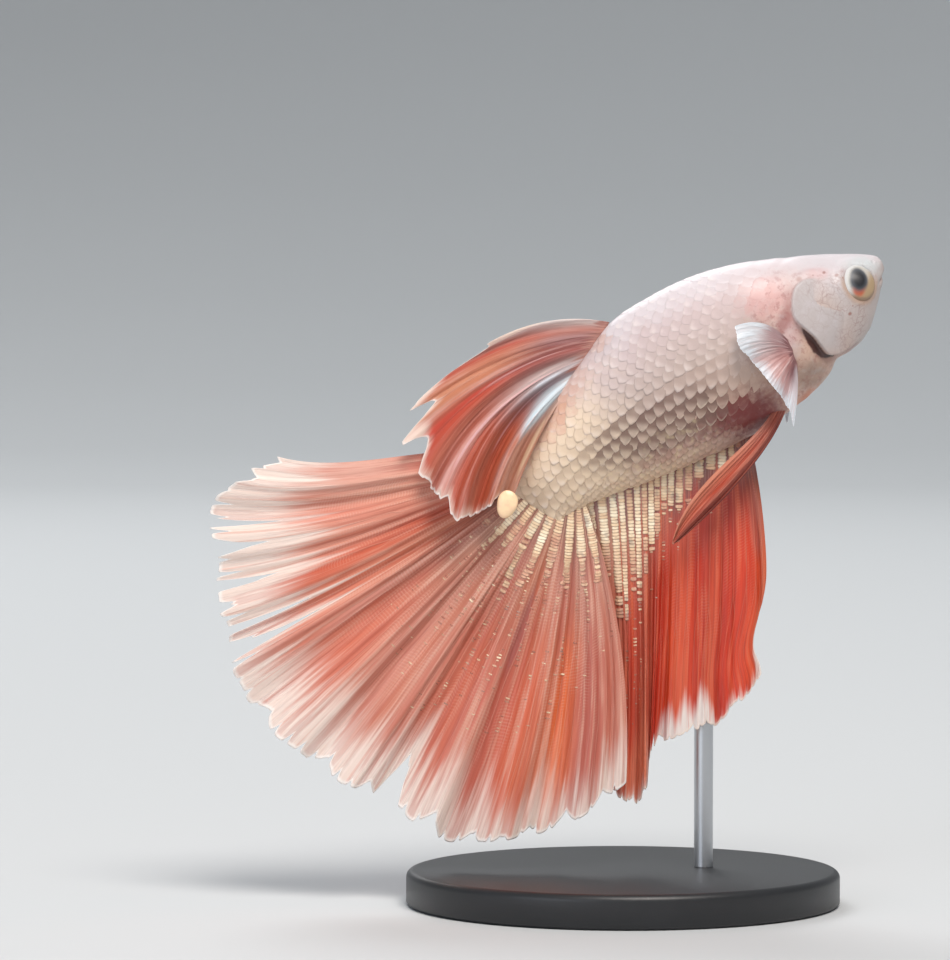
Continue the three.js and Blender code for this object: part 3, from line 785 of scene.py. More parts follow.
def scaleMaterial():
    material, g = newMaterial("scales")
    lengthwise, _, radius = g.parts(g.attribute("local", "Vector"))
    rise, tone, station = g.attribute("rise"), g.attribute("tone"), g.attribute("station")
    x, z, _ = g.parts(g.attribute("plan", "Vector"))
    marked = g.rising(*reversed(coat["fade"]), x)
    colour = bodyColour(g)
    cloud = g.noise(g.place(), 0.3, 2)
    # a band low on the flank is grey inside tan edges; elsewhere the scales are pale with rosy edges, and
    # painted sheen towards their free ends
    band = g.spot(x, z, *coat["greyBand"], 0.2) + (cloud - 0.5) * 0.35
    low = g.rising(0.0, 0.7, band) * g.rising(-0.95, -0.75, rise)
    patch = g.noise(g.place(), 1.1, 3)
    colour = g.mix(low * (0.16 + 0.3 * tone + (patch - 0.5) * 0.8), colour, coat["greyCentre"])
    high = (1 - low) * marked
    # painted sheen: pale patches towards each scale's free end
    sheenShare = g.rising(-0.1, 0.8, lengthwise) * high
    colour = g.mix(sheenShare * (0.02 + 0.5 * tone * g.rising(0.35, 0.62, patch)), colour, coat["pale"])
    rim = g.rising(0.72, 0.95, radius) * g.rising(-0.1, 0.4, lengthwise)
    colour = g.mix(rim * high * (0.04 + 0.2 * tone) * g.rising(0.8, 0.0, rise), colour, coat["edge"])
    lowRim = g.rising(0.62, 0.92, radius) * g.rising(0.0, 0.6, lengthwise) * low
    colour = g.mix(lowRim * (0.4 + 0.4 * tone), colour, coat["lowEdge"])
    # painted shadow on each scale just beyond the edge of the one that overlaps it, stronger low on the flank
    # and strongest in the grey band
    shade = g.rising(0.55, -0.1, lengthwise) * marked * (0.05 + 0.22 * g.rising(0.5, -0.3, rise) + 0.55 * low)
    colour = g.mix(shade, colour, bodyLook["gap"])
    # painted glints of gold in patches on the scales low on the flank, towards the tail
    goldGlint = g.rising(0.5, 0.75, patch) * g.rising(-0.35, -0.8, rise) * g.rising(6.6, 7.6, station)
    colour = g.mix(goldGlint * 0.5, colour, coat["gold"])
    gloss = g.noise(g.place(), 3.0, 3)
    showGloss(g, colour, 0.36 + gloss * 0.2, (0.3, 0.3), (gloss, 0.03, 0.5))
    return material


def makeScales(material):
    t, angle, plan, size = scaleRoots()
    t = t + rng.normal(0, coat["stray"], t.shape)
    angle = angle + rng.normal(0, coat["strayAngle"], t.shape)
    face, lie = skinNormal(t, angle)
    low = smooth(-0.45, -0.75, np.cos(angle)) * smooth(5, 7, t)
    small = size * (1 - 0.1 * smooth(10.5, 12.5, t)) * (1 + rng.normal(0, coat["straySize"], t.shape))
    rear = smooth(5.5, 8.5, t) * smooth(0.8, -0.1, np.cos(angle))
    raised = (0.4 + 0.5 * rear + 0.3 * low) * size**0.5
    relief = (1 - 0.8 * smooth(*coat["fade"], plan[:, 0])) * rng.uniform(0.5, 1.3, t.shape) * raised
    down = unit(skinPoint(t, angle + 0.01 * np.sign(angle)) - skinPoint(t, angle))
    below = smooth(0.35, -0.35, np.cos(angle))
    leanHigh, leanLow = coat["lean"]
    lean = leanHigh + (leanLow - leanHigh) * below + rng.normal(0, coat["strayTurn"], t.shape)
    lie = unit(lie * np.cos(lean)[:, None] + down * np.sin(lean)[:, None])
    unwrapped = np.stack([angle / (2 * np.pi) + 0.5, t / coat["unwrapLength"], 0 * t], -1)
    sizes = np.stack([small * (1 + 0.22 * below), small * (1 - 0.1 * below), small], -1)
    marks = {
        "face": face, "lie": lie, "size": sizes, "relief": relief, "plan": plan, "rise": np.cos(angle),
        "station": t, "tone": rng.uniform(0, 1, t.shape), "bakeRoot": unwrapped,
    }
    points = addMesh("scales", skinPoint(t, angle, -body["coatDepth"]), [], None, marks)
    values = {
        "Finish": material, "Surface": skinPiece, "Length": coat["length"] * mm, "Width": coat["width"] * mm,
        "Lift": coat["lift"] * mm, "Square": 0.0, "Point": coat["point"],
    }
    return runTree(points, plates, values)


scales = makeScales(scaleMaterial())
settle(scales)
print("scales laid", len(scales.data.polygons))

# eyes
eyeLook = {
    "pupil": "#1a1b21", "pupilEdge": "#5a5e64", "glow": "#b8482a", "glowPale": "#c98a62",
    "iris": "#c4c0b8", "low": "#ae9472", "lid": "#d2d2d1", "rim": "#957a62",
    "pupilShare": 0.49, "pupilTall": 1.4, "pupilRaised": 0.16, "pupilForward": -0.2,
    "pupilLean": 0.6,  # radians, forward at its top
    "corneaBulge": 0.16,
    "ballShare": 0.985,  # of the socket's radius
}


def eyeMaterial():
    material, g = newMaterial("eye")
    forward, up, _ = g.parts(g.attribute("eyePlace", "Vector"))
    radius = (forward * forward + up * up) ** 0.5
    offX, offY = forward - eyeLook["pupilForward"], up - eyeLook["pupilRaised"]
    lean = eyeLook["pupilLean"]
    long = (offX * math.sin(lean) + offY * math.cos(lean)) / eyeLook["pupilTall"]
    wide = offX * math.cos(lean) - offY * math.sin(lean)
    fromPupil = (long * long + wide * wide) ** 0.5 / eyeLook["pupilShare"]
    fleck = g.noise(g.join(forward * 9, up * 9), 1.0, 4)
    # towards the bottom and front the iris turns tan: partly the iris's own tan, partly painted shade
    low = g.rising(0.35, -0.5, up * 1.2 - forward * 0.3 + (fleck - 0.5) * 0.3)
    iris = g.mix(low, eyeLook["iris"], eyeLook["low"])
    below = g.rising(-0.12, -0.36, offY + offX * 0.3) * g.rising(0.5, 0.15, wide.size())
    glow = g.mix(g.rising(1.0, 1.5, fromPupil), eyeLook["glow"], eyeLook["glowPale"])
    colour = g.mix(below * g.rising(1.5, 1.1, fromPupil) * 0.85, iris, glow)
    dark = g.mix(g.rising(0.4, 1.1, fromPupil), eyeLook["pupil"], eyeLook["pupilEdge"])
    colour = g.mix(g.rising(1.24, 0.8, fromPupil + below * 0.14), colour, dark)
    # round its edge the eye turns white above and brown below, the brown partly the ring's own tan and partly
    # painted shade
    lid = g.mix(g.rising(0.3, -0.5, up * 1.1 - forward * 0.2), eyeLook["lid"], eyeLook["rim"])
    colour = g.mix(g.rising(0.74, 0.94, radius + (fleck - 0.5) * 0.12), colour, lid)
    showGloss(g, colour, 0.5, (0.15, 0.25))
    return material


def ballAngles(rows, columns, poleGap=0.03):
    # from pole to pole, and round
    bend = np.linspace(poleGap, np.pi - poleGap, rows)[:, None]
    return bend, np.linspace(0, 2 * np.pi, columns, endpoint=False)[None, :]


def makeEye(name, side, material):
    centre, outward, forward, up = eyeFrame(side)
    bend, turn = ballAngles(48, 64)
    ahead, high, out = np.sin(bend) * np.cos(turn), np.sin(bend) * np.sin(turn), np.cos(bend) + 0 * turn
    bulge = eyeLook["corneaBulge"] * (1 - smooth(0, 0.8, np.hypot(ahead, high))) * (out > 0)
    radius = eye["radius"] * eyeLook["ballShare"]
    points = centre + radius * (ahead[..., None] * forward + high[..., None] * up)
    points = points + (out * eye["depth"] + bulge)[..., None] * outward
    return addTube(name, points, material, {"eyePlace": np.stack([ahead, high, out], -1)})


eyeFinish = eyeMaterial()
for name, side in (("eye_left", 1), ("eye_right", -1)):
    settle(makeEye(name + "_ball", side, eyeFinish), [name])
print("eyes made")

# fins
# A fin is a fan of key rays, each a curve through x, y, z points. Places across the fan run from
# 0 to 1, and so do places along a ray. A bay is a place across, a depth and half its width.
caudal = {
    "rootTop": [-2.9, 4.6], "rootBottom": [4.5, -0.1], "firstAngle": 171, "lastAngle": 285.5,
    "reach": [32.9, 38.6, 39.3, 40.3, 41.9, 41.6, 41.0, 40.1, 41.5, 39.8, 37.7, 34.8],
    "bows": [
        (0, -2.5, 3.5), (0.08, 1.0, 3.2), (0.25, 1.5, 2.4), (0.36, 0.6, 0.4), (0.6, 0, 0), (1, 2.4, 2.4),
    ],
    "leanTop": 1.2, "leanBottom": -1.4,
    "pleats": [
        (0, 0.2), (0.05, -0.5), (0.1, 0.35), (0.15, -0.45), (0.2, 0.4), (0.25, -0.4), (0.3, 0.45),
        (0.33, -0.6), (0.39, 0.65), (0.46, -0.5), (0.51, 0.6), (0.57, -0.75), (0.63, 0.8), (0.69, -0.7),
        (0.74, 0.55), (0.8, -0.7), (0.86, 0.65), (0.92, -0.5), (0.97, 0.3), (1, -0.1),
    ],
    "folds": (31, 0.12),
    "bays": [
        (0.008, 0.07, 0.016), (0.038, 0.05, 0.012), (0.118, 0.24, 0.007), (0.155, 0.12, 0.014),
        (0.212, 0.19, 0.008), (0.245, 0.05, 0.006), (0.279, 0.27, 0.006), (0.3, 0.08, 0.005),
        (0.312, 0.29, 0.009), (0.408, 0.025, 0.022), (0.516, 0.04, 0.022), (0.59, 0.03, 0.014),
        (0.622, 0.15, 0.02), (0.692, 0.05, 0.02), (0.755, 0.025, 0.014), (0.797, 0.018, 0.012),
        (0.838, 0.026, 0.013), (0.893, 0.04, 0.018), (0.955, 0.035, 0.02),
    ],
    "bayCurve": 1.0, "tips": 46, "tipRound": 0.006, "ragged": 0.016, "notch": 0.03, "fingers": (0.33, 3.0),
    "grid": (741, 62), "trunks": 14, "forks": (0.2, 0.42, 0.7), "rayThick": (0.15, 0.035),
}
dorsal = {
    "rays": [
        [7.4, 0, 20.1, 0.2, 0, 21.5, -6.4, 0, 17.8], [6.7, 0, 18.9, -3.5, -0.3, 19.2, -14.8, -0.2, 10.9],
        [6.1, 0, 18.0, -5.2, -0.5, 16.9, -16.5, -0.6, 6.3],
        [5.6, 0, 17.1, -7.7, -2.2, 14.4, -13.8, -2.8, 1.7],
        [5.2, 0, 16.3, -8.1, -1.2, 11.6, -12.3, -2.8, 0.2],
        [4.7, 0, 15.5, -7.3, -2.8, 11.5, -10.0, -4.4, -2.7],
        [4.3, 0, 14.7, -4.6, -1.8, 11.0, -7.7, -3.2, -1.8],
        [3.9, 0, 13.9, -3.0, -3.1, 9.1, -5.9, -4.3, -0.8],
        [3.4, 0, 13.1, -0.7, -3.2, 8.7, -4.2, -3.9, -1.4],
    ],
    "pleats": [
        (0, -0.5), (0.06, 0.2), (0.2, 0.25), (0.262, -0.75), (0.32, 0.3), (0.41, 0.95), (0.5, -0.9),
        (0.58, 0.2), (0.62, -0.1), (0.73, 1.0), (0.83, -0.9), (0.92, 0.5), (1, -0.5),
    ],
    "folds": (15, 0.07),
    "bays": [
        (0.034, 0.13, 0.028), (0.2, 0.16, 0.05), (0.3, 0.11, 0.04), (0.39, 0.02, 0.03), (0.548, 0.04, 0.03),
        (0.66, 0.02, 0.04), (0.9, 0.06, 0.05),
    ],
    "bayCurve": 1.6, "tips": 22, "tipRound": 0.006, "ragged": 0.006, "notch": 0.006, "fingers": (0, 1),
    "grid": (401, 80), "trunks": 17, "forks": (0.45,), "rayThick": (0.1, 0.03),
}
anal = {
    "rays": [
        [23.5, 0, 7.2, 26.6, 0.2, -7.2, 25.1, 0.4, -20.4],
        [22.3, 0, 6.8, 24.4, -0.2, -7.8, 23.0, -0.4, -23.2],
        [20.4, 0, 6.7, 20.6, 0.1, -10.7, 19.7, 0.4, -26.6],
        [17.5, 0, 5.4, 17.5, -0.1, -11.8, 17.1, -0.3, -27.1],
        [15.1, 0, 4.4, 15.0, 0.4, -12.4, 14.1, 0.9, -28.4],
        [13.2, 0, 3.6, 13.2, 0.9, -13.6, 12.3, 2.1, -29.6],
        [11.5, 0, 2.9, 12.0, 0.4, -16.4, 11.7, 1.0, -34.0],
        [9.5, 0, 2.2, 10.9, 0.8, -17.6, 10.0, 1.7, -36.0],
        [7.3, 0.2, 1.5, 9.2, 1.4, -17.0, 7.7, 2.5, -33.9],
        [4.2, 0.4, 0.6, 6.2, 1.8, -16.4, 5.2, 3.0, -30.2],
    ],
    "pleats": [
        (0, -0.3), (0.06, 0.25), (0.12, -0.2), (0.2, 0.2), (0.27, -0.25), (0.34, 0.2), (0.42, -0.2),
        (0.5, 0.35), (0.56, -0.5), (0.62, 0.4), (0.68, -0.5), (0.75, 0.4), (0.83, -0.3), (1, 0.2),
    ],
    "folds": (20, 0.09),
    "bays": [
        (0.15, 0.02, 0.03), (0.27, 0.02, 0.04), (0.34, 0.015, 0.02), (0.49, 0.03, 0.03), (0.54, 0.04, 0.012),
        (0.69, 0.02, 0.02), (0.77, 0.02, 0.03),
    ],
    "bayCurve": 1.4, "tips": 30, "tipRound": 0.008, "ragged": 0.012, "notch": 0.01, "fingers": (0, 1),
    "frontBay": (0.8, 0.13, 0.085),  # place along, half width, depth across
    "grid": (501, 84), "trunks": 20, "forks": (0.55,), "rayThick": (0.13, 0.035),
}
pectoral = {  # on the right side, mirrored for the left
    "rays": [
        [27.9, -5.0, 17.7, 25.0, -6.9, 21.3, 21.3, -7.9, 19.7],
        [28.0, -5.0, 17.3, 24.9, -7.0, 18.7, 21.9, -8.1, 17.3],
        [28.1, -5.0, 16.9, 26.2, -6.8, 16.9, 23.8, -7.8, 15.2],
        [28.2, -4.9, 16.4, 27.2, -6.6, 15.3, 25.7, -7.4, 12.9],
        [28.4, -4.8, 15.9, 28.0, -6.2, 13.9, 27.1, -6.9, 11.1],
        [28.6, -4.6, 15.4, 28.9, -5.7, 12.2, 28.2, -6.1, 8.2],
    ],
    "pleats": [(0, 0.3), (0.18, -0.2), (0.4, 0.25), (0.62, -0.25), (0.82, 0.3), (1, -0.2)],
    "folds": (17, 0.025),
    "bays": [(0.3, 0.03, 0.05), (0.9, 0.06, 0.06)],
    "bayCurve": 1.4, "tips": 26, "tipRound": 0.01, "ragged": 0.02, "notch": 0.012, "fingers": (0, 1),
    "grid": (241, 60), "trunks": 13, "forks": (0.5,), "rayThick": (0.05, 0.02),
}
pelvic = {
    "rays": [
        [26.8, -1.6, 11.6, 25.0, -4.6, 6.3, 16.4, -5.4, 2.9, 14.6, -4.8, -4.5],
        [27.3, -1.5, 11.2, 25.8, -5.0, 5.8, 18.0, -5.6, -0.2, 14.5, -4.6, -5.2],
        [27.8, -1.3, 10.9, 26.2, -4.4, 5.4, 18.7, -4.4, -2.0, 15.1, -4.4, -4.9],
    ],
    "pleats": [(0, -0.2), (0.3, 0.1), (0.5, -0.2), (0.8, 0.2), (1, 0)],
    "folds": (5, 0.05),
    "bays": [], "bayCurve": 1, "tips": 4, "tipRound": 0.004, "ragged": 0.0, "notch": 0.0, "fingers": (0, 1),
    "grid": (73, 110), "trunks": 5, "forks": (), "rayThick": (0.14, 0.04),
}
# half thicknesses at root and margin, how the rows crowd towards the margin, half a notch's width
membrane = {"root": 0.1, "margin": 0.03, "marginCrowd": 1.3, "notchWidth": 0.1}
# points on a whole ray and on the shortest fork, where rays end, and how soon forks part
threadSteps = {"whole": 60, "fewest": 8, "end": 0.985, "parting": 0.14}


def caudalRays():
    # each ray bows sideways at one and two thirds of its length, and leans out of the middle plane
    rays = []
    places, *bows = np.array(caudal["bows"]).T
    for v, reach in zip(np.linspace(0, 1, len(caudal["reach"])), caudal["reach"]):
        angle = math.radians(caudal["firstAngle"] + v * (caudal["lastAngle"] - caudal["firstAngle"]))
        out = np.array([math.cos(angle), math.sin(angle)])
        across = np.array([-out[1], out[0]])
        root = np.array(caudal["rootTop"]) * (1 - v) + np.array(caudal["rootBottom"]) * v
        lean = caudal["leanTop"] * (1 - v) + caudal["leanBottom"] * v
        tip = reach * out
        ray = [root[0], 0, root[1]]
        for share, leaning, bow in zip((1 / 3, 2 / 3), (0.2, 0.6), bows):
            x, z = root + (tip - root) * share + np.interp(v, places, bow) * across
            ray += [x, lean * leaning, z]
        rays.append(ray + [tip[0], lean, tip[1]])
    return rays


caudal["rays"] = caudalRays()


def pleat(fin, v):
    # the broad folds: heights at places across the fan, with smooth slopes between
    places, heights = np.array(fin["pleats"]).T
    i = np.clip(np.searchsorted(places, v, side="right") - 1, 0, len(places) - 2)
    share = (v - places[i]) / (places[i + 1] - places[i])
    return heights[i] + (heights[i + 1] - heights[i]) * smooth(0, 1, share)


def fineFold(fin, u, v):
    wander = 0.35 * np.sin(2 * np.pi * 3.3 * v + 1) + 0.2 * np.sin(2 * np.pi * 7.7 * v + 2 + 2 * u)
    return np.sin(2 * np.pi * (fin["folds"][0] * v + wander))


def finPoint(fin, u, v, side=-1):
    # a place on the fin's middle surface, u along the rays and v across them
    rays = np.asarray(fin["rays"])
    u, v = np.broadcast_arrays(u, v)
    v = np.clip(v, 0, 1)
    if "frontBay" in fin:
        at, width, depth = fin["frontBay"]
        v = v + depth * hump(u - at, width) * (1 - v) ** 7
    ray = spline(rays, v * (len(rays) - 1))
    points = [ray[..., k : k + 3] for k in range(0, rays.shape[1], 3)]
    while len(points) > 1:
        points = [a + (b - a) * u[..., None] for a, b in zip(points, points[1:])]
    place = points[0].copy()
    place[..., 1] += pleat(fin, v) * smooth(0.0, 0.55, u) * (0.8 + 0.4 * u)
    place[..., 1] += fin["folds"][1] * smooth(0.05, 0.5, u) * fineFold(fin, u, v)
    place[..., 1] *= -side
    return place


def finNormal(fin, u, v, side=-1):
    step = 1e-3
    along = finPoint(fin, u + step, v, side) - finPoint(fin, u - step, v, side)
    across = finPoint(fin, u, np.minimum(v + step, 1), side) - finPoint(fin, u, np.maximum(v - step, 0), side)
    return unit(np.cross(along, across))


def finReach(fin, v):
    # how far the membrane goes along its rays: bays, then round tips with notches between
    cut = 0 * v
    for at, depth, width in fin["bays"]:
        cut = np.maximum(cut, depth * (1 - np.clip(np.abs(v - at) / width, 0, 1) ** fin["bayCurve"]))
    place = np.clip(v, 0, 1) * fin["tips"]
    nearest = np.round(place).astype(int)
    gap = np.abs(place - nearest)  # none between two tips, half at a tip's middle
    short = np.interp(place, np.arange(fin["tips"]) + 0.5, fin["tipShort"])
    notch = fin["notches"][nearest] * hump(gap, membrane["notchWidth"])
    return 1 - cut - short - notch - fin["tipRound"] * (1 - 2 * gap) ** 3


def makeMembrane(name, fin, side, material):
    columns, rows = fin["grid"]
    v = np.linspace(0, 1, columns)[None, :]
    u = (1 - (1 - np.linspace(0, 1, rows)) ** membrane["marginCrowd"])[:, None]
    reach = u * finReach(fin, v)
    middle, normal = finPoint(fin, reach, v, side), finNormal(fin, reach, v, side)
    half = (membrane["root"] + (membrane["margin"] - membrane["root"]) * smooth(0, 0.7, u))[..., None]
    points = np.vstack([(middle + normal * half).reshape(-1, 3), (middle - normal * half).reshape(-1, 3)])
    front = gridFaces(rows, columns)
    back = [f[::-1] for f in gridFaces(rows, columns, start=rows * columns)]
    index = np.arange(rows * columns).reshape(rows, columns)
    rim = np.concatenate([index[0, :-1], index[:-1, -1], index[-1, :0:-1], index[:0:-1, 0]])
    after, behind = np.roll(rim, -1), rows * columns
    walls = np.stack([rim, after, after + behind, rim + behind], -1).tolist()
    fan = np.stack([v + 0 * u, reach, u + 0 * v], -1).reshape(-1, 3)
    crest = foldLightMark(fin, reach, v).ravel()
    faces = front + back + (walls if sameWay(front[0], walls[0]) else [w[::-1] for w in walls])
    marks = {"fan": np.vstack([fan, fan]), "crest": np.concatenate([crest, crest])}
    return addMesh(name, points, facingOut(points, faces), material, marks)


def foldLightMark(fin, u, v):
    # 1 on the folds' near crests and -1 in their valleys, for painted highlights on the crests and painted
    # shade in the valleys
    tallest = max(abs(height) for _, height in fin["pleats"])
    v = v + 0 * u
    return -0.75 * pleat(fin, v) / tallest * smooth(0, 0.35, u) - 0.25 * fineFold(fin, u, v)


def sameWay(face, wall):
    # neighbouring faces agree when they run along their shared edge in opposite directions
    edges = [(face[k], face[(k + 1) % 4]) for k in range(4)]
    return (wall[1], wall[0]) in edges


def rayPath(fin, tip):
    # where one tip's ray starts, its level of forking, and its places along and across the fan
    tips = fin["trunks"] * 2 ** len(fin["forks"])
    starts = (0.0, *fin["forks"])
    groups = [tips // (fin["trunks"] * 2**level) for level in range(len(starts))]
    level = next(k for k, group in enumerate(groups) if tip % group == 0)
    steps = max(threadSteps["fewest"], int(threadSteps["whole"] * (1 - starts[level])))
    u = np.linspace(starts[level], threadSteps["end"], steps)
    centres = [(tip // group + 0.5) * group / tips for group in groups]
    v = np.full_like(u, centres[max(level - 1, 0)])
    for k in range(max(level, 1), len(starts)):
        v += (centres[k] - centres[k - 1]) * smooth(starts[k], starts[k] + threadSteps["parting"], u)
    return level, u, v


def rayLines(fin, side):
    # each ray as a line that forks: its points, which point follows which, and the marks on them
    thickest, thinnest = fin["rayThick"]
    points, edges, fans, thick, foldLights = [], [], [], [], []
    for tip in range(fin["trunks"] * 2 ** len(fin["forks"])):
        level, u, v = rayPath(fin, tip)
        reach = u * finReach(fin, v)
        first = sum(len(p) for p in points)
        points.append(finPoint(fin, reach, v, side))
        edges += [(first + k, first + k + 1) for k in range(len(u) - 1)]
        fans.append(np.stack([v, reach, u], -1))
        thick.append((thickest + (thinnest - thickest) * u**0.8) * 0.85**level)
        foldLights.append(foldLightMark(fin, reach, v))
    marks = {"fan": np.vstack(fans), "thick": np.concatenate(thick), "crest": np.concatenate(foldLights)}
    return np.vstack(points), edges, marks


def makeRays(name, fin, side, material):
    points, edges, marks = rayLines(fin, side)
    lines = addMesh(name, points, [], None, marks, edges)
    return runTree(lines, threads, {"Finish": material, "Thickness": mm})


# colours of the fins
# "inner" and "outer" are the colours across the fan, near its roots and far out. A patch is a place
# across and along, half its sizes, a colour and a strength. "marginStart" is where the pale rim begins.
caudalLook = {
    "inner": [
        (0.03, "#d0705a"), (0.08, "#d88c74"), (0.13, "#e69a80"), (0.18, "#da806a"), (0.23, "#c45c42"),
        (0.28, "#da8c70"), (0.33, "#c07058"), (0.38, "#bd7a68"), (0.43, "#c8947c"), (0.48, "#bc7864"),
        (0.53, "#c4806a"), (0.58, "#c87a62"), (0.63, "#cc8876"), (0.68, "#bc7a60"), (0.73, "#cc7656"),
        (0.78, "#d08870"), (0.83, "#cc8070"), (0.88, "#d0907c"), (0.93, "#c87c6c"), (0.97, "#d89a86"),
    ],
    "outer": [
        (0.03, "#eeb4a2"), (0.08, "#e6a690"), (0.13, "#ee9a84"), (0.18, "#f2a890"), (0.23, "#dc6a4c"),
        (0.28, "#e48c70"), (0.33, "#ee9e88"), (0.38, "#e4846a"), (0.43, "#e6846a"), (0.48, "#d88e7c"),
        (0.53, "#ea9e86"), (0.58, "#d4806c"), (0.63, "#e07a5e"), (0.68, "#da7a64"), (0.73, "#d06c58"),
        (0.78, "#e8724e"), (0.832, "#dc7a58"), (0.853, "#f67e48"), (0.875, "#ec7c54"), (0.9, "#d06e5a"),
        (0.93, "#d07060"), (0.97, "#da8670"),
    ],
    "dark": "#ac4028", "light": "#fcc8b0", "root": "#cba48c", "rootDark": "#94665a",
    "margin": "#f9eae0", "rim": "#fffcf8", "rayTint": "#f4bba6", "glows": ("#d68a74", "#f9eae0"),
    "ribs": 110, "ribbed": 0.22, "ribTint": "#f8dcc8",
    "streaks": 64, "streaked": 0.62, "foldShading": 0.2, "contrast": 0.6, "turning": (0.22, 0.62),
    "rootEnd": 0.25, "clear": 0.4, "marginSoft": 0.13,
    "marginStart": [
        (0, 0.84), (0.05, 0.74), (0.3, 0.8), (0.345, 0.88), (0.42, 0.85), (0.6, 0.87), (0.75, 0.91),
        (0.86, 0.92), (1, 0.91),
    ],
    "patches": [
        (0.72, 0.4, 0.025, 0.22, "#b6787e", 0.45), (0.36, 0.5, 0.02, 0.45, "#f4b0a0", 0.5),
        (0.853, 0.6, 0.026, 0.3, "#f87838", 0.4),
    ],
}
dorsalLook = {
    # across the fan these colours hold painted shade in the pleats' valleys and painted light on their
    # ridges, as well as the fin's own colours
    "inner": [
        (0.02, "#d8c8c2"), (0.06, "#cc9c92"), (0.1, "#c47e70"), (0.15, "#c49490"), (0.2, "#98605e"),
        (0.24, "#96504a"), (0.28, "#a4605a"), (0.33, "#a45048"), (0.38, "#a8706a"), (0.42, "#a08480"),
        (0.46, "#c8b0ac"), (0.5, "#c0aaa8"), (0.54, "#bcb2b4"), (0.58, "#c4b8b8"), (0.63, "#ccc4c8"),
        (0.68, "#9c9298"), (0.73, "#94868c"), (0.78, "#b8c2c8"), (0.83, "#deeaf0"), (0.88, "#c8d8e0"),
        (0.93, "#a89690"), (0.98, "#bc9480"),
    ],
    "outer": [
        (0.02, "#dcc0ba"), (0.05, "#cc8c80"), (0.09, "#cc5a44"), (0.13, "#de886a"), (0.19, "#e09876"),
        (0.24, "#d88c6c"), (0.27, "#dc7c60"), (0.3, "#d84c38"), (0.34, "#cc5c44"), (0.38, "#d07860"),
        (0.42, "#c87c6c"), (0.46, "#bc6450"), (0.5, "#e49c90"), (0.54, "#e08c7c"), (0.58, "#c4583c"),
        (0.63, "#c0583e"), (0.68, "#d0846c"), (0.73, "#cc6448"), (0.78, "#d8704e"), (0.83, "#cc6c4c"),
        (0.88, "#dca088"), (0.93, "#b47c64"), (0.98, "#b87c60"),
    ],
    "dark": "#84301f", "light": "#fbd8d0", "root": "#dfa795", "rootDark": "#b07c72",
    "margin": "#fbe6d8", "rim": "#fff8f2", "rayTint": "#eab09c", "glows": ("#c0887c", "#fbe6d8"),
    "ribs": 0, "streaks": 16, "streaked": 0.2, "foldShading": 0.34, "contrast": 0.5, "turning": (0.22, 0.62),
    "rootEnd": 0.08, "clear": 0.0, "marginSoft": 0.04,
    "marginStart": [
        (0, 0.5), (0.035, 0.97), (0.1, 0.93), (0.2, 0.975), (0.26, 0.9), (0.3, 0.975), (0.5, 0.99), (1, 1),
    ],
    "patches": [
        (0.85, 0.32, 0.1, 0.4, "#dcf2fc", 0.95), (0.62, 0.2, 0.06, 0.14, "#e0e4ec", 0.85),
        (0.97, 0.6, 0.03, 0.4, "#e4c4a0", 0.7), (0.0, 0.45, 0.02, 0.6, "#fdf2ec", 0.9),
        (0.515, 0.5, 0.018, 0.55, "#f8c0c2", 0.9), (0.7, 0.45, 0.015, 0.4, "#f0c8cc", 0.7),
        (0.3, 0.35, 0.012, 0.4, "#ecb8b6", 0.6), (0.5, 0.99, 0.02, 0.04, "#5a3024", 0.9),
    ],
}
analLook = {
    # the darker reds from 0.1 to 0.2 across, near the roots, are partly painted shadow of the pelvic fins
    "inner": [
        (0.02, "#8c5444"), (0.1, "#8c4a40"), (0.2, "#9c3c34"), (0.3, "#a84840"), (0.35, "#b0504a"),
        (0.4, "#b8645a"), (0.45, "#a85c50"), (0.5, "#bc7466"), (0.6, "#b06c5c"), (0.7, "#b88070"),
        (0.8, "#c4907c"), (0.9, "#c4947c"), (0.97, "#c8987c"),
    ],
    "outer": [
        (0.02, "#d2603a"), (0.06, "#e0522c"), (0.1, "#dc4224"), (0.15, "#e64422"), (0.2, "#d43c24"),
        (0.25, "#e05a3c"), (0.3, "#ce3a22"), (0.35, "#e04a2c"), (0.4, "#ec5e38"), (0.45, "#e04a24"),
        (0.5, "#d63e1c"), (0.55, "#ca321a"), (0.6, "#cc4630"), (0.65, "#ce5a42"), (0.7, "#c4543e"),
        (0.75, "#d45c44"), (0.8, "#d44c34"), (0.85, "#c86850"), (0.9, "#d0785e"), (0.95, "#d06e58"),
    ],
    "dark": "#861c12", "light": "#f68258", "root": "#b5948a", "rootDark": "#8a605a",
    "margin": "#f8f2ec", "rim": "#fbe9dd", "rayTint": "#ec9478", "glows": ("#d24a26", "#f8f2ec"),
    "ribs": 90, "ribbed": 0.12, "ribTint": "#f0b49c",
    "streaks": 34, "streaked": 0.6, "foldShading": 0.2, "contrast": 0.6, "turning": (0.1, 0.42), "rootEnd": 0.2,
    "clear": 0.0, "marginSoft": 0.05,
    "marginStart": [
        (0, 0.8), (0.025, 0.86), (0.045, 0.97), (0.06, 1), (0.22, 0.99), (0.27, 0.92), (0.3, 0.88),
        (0.33, 0.96), (0.37, 0.89), (0.41, 0.96), (0.45, 0.87), (0.48, 0.95), (0.52, 1), (1, 1),
    ],
    "patches": [
        (0.05, 0.34, 0.08, 0.26, "#b86e62", 0.6), (0.34, 0.4, 0.08, 0.14, "#e03c20", 0.5),
        (0.08, 0.8, 0.12, 0.3, "#f4542a", 0.6), (0.53, 0.6, 0.02, 0.4, "#d62814", 0.6),
        (0.45, 0.68, 0.08, 0.16, "#f05a2c", 0.5), (0.72, 1.0, 0.2, 0.42, "#ee8c6c", 0.9),
    ],
}
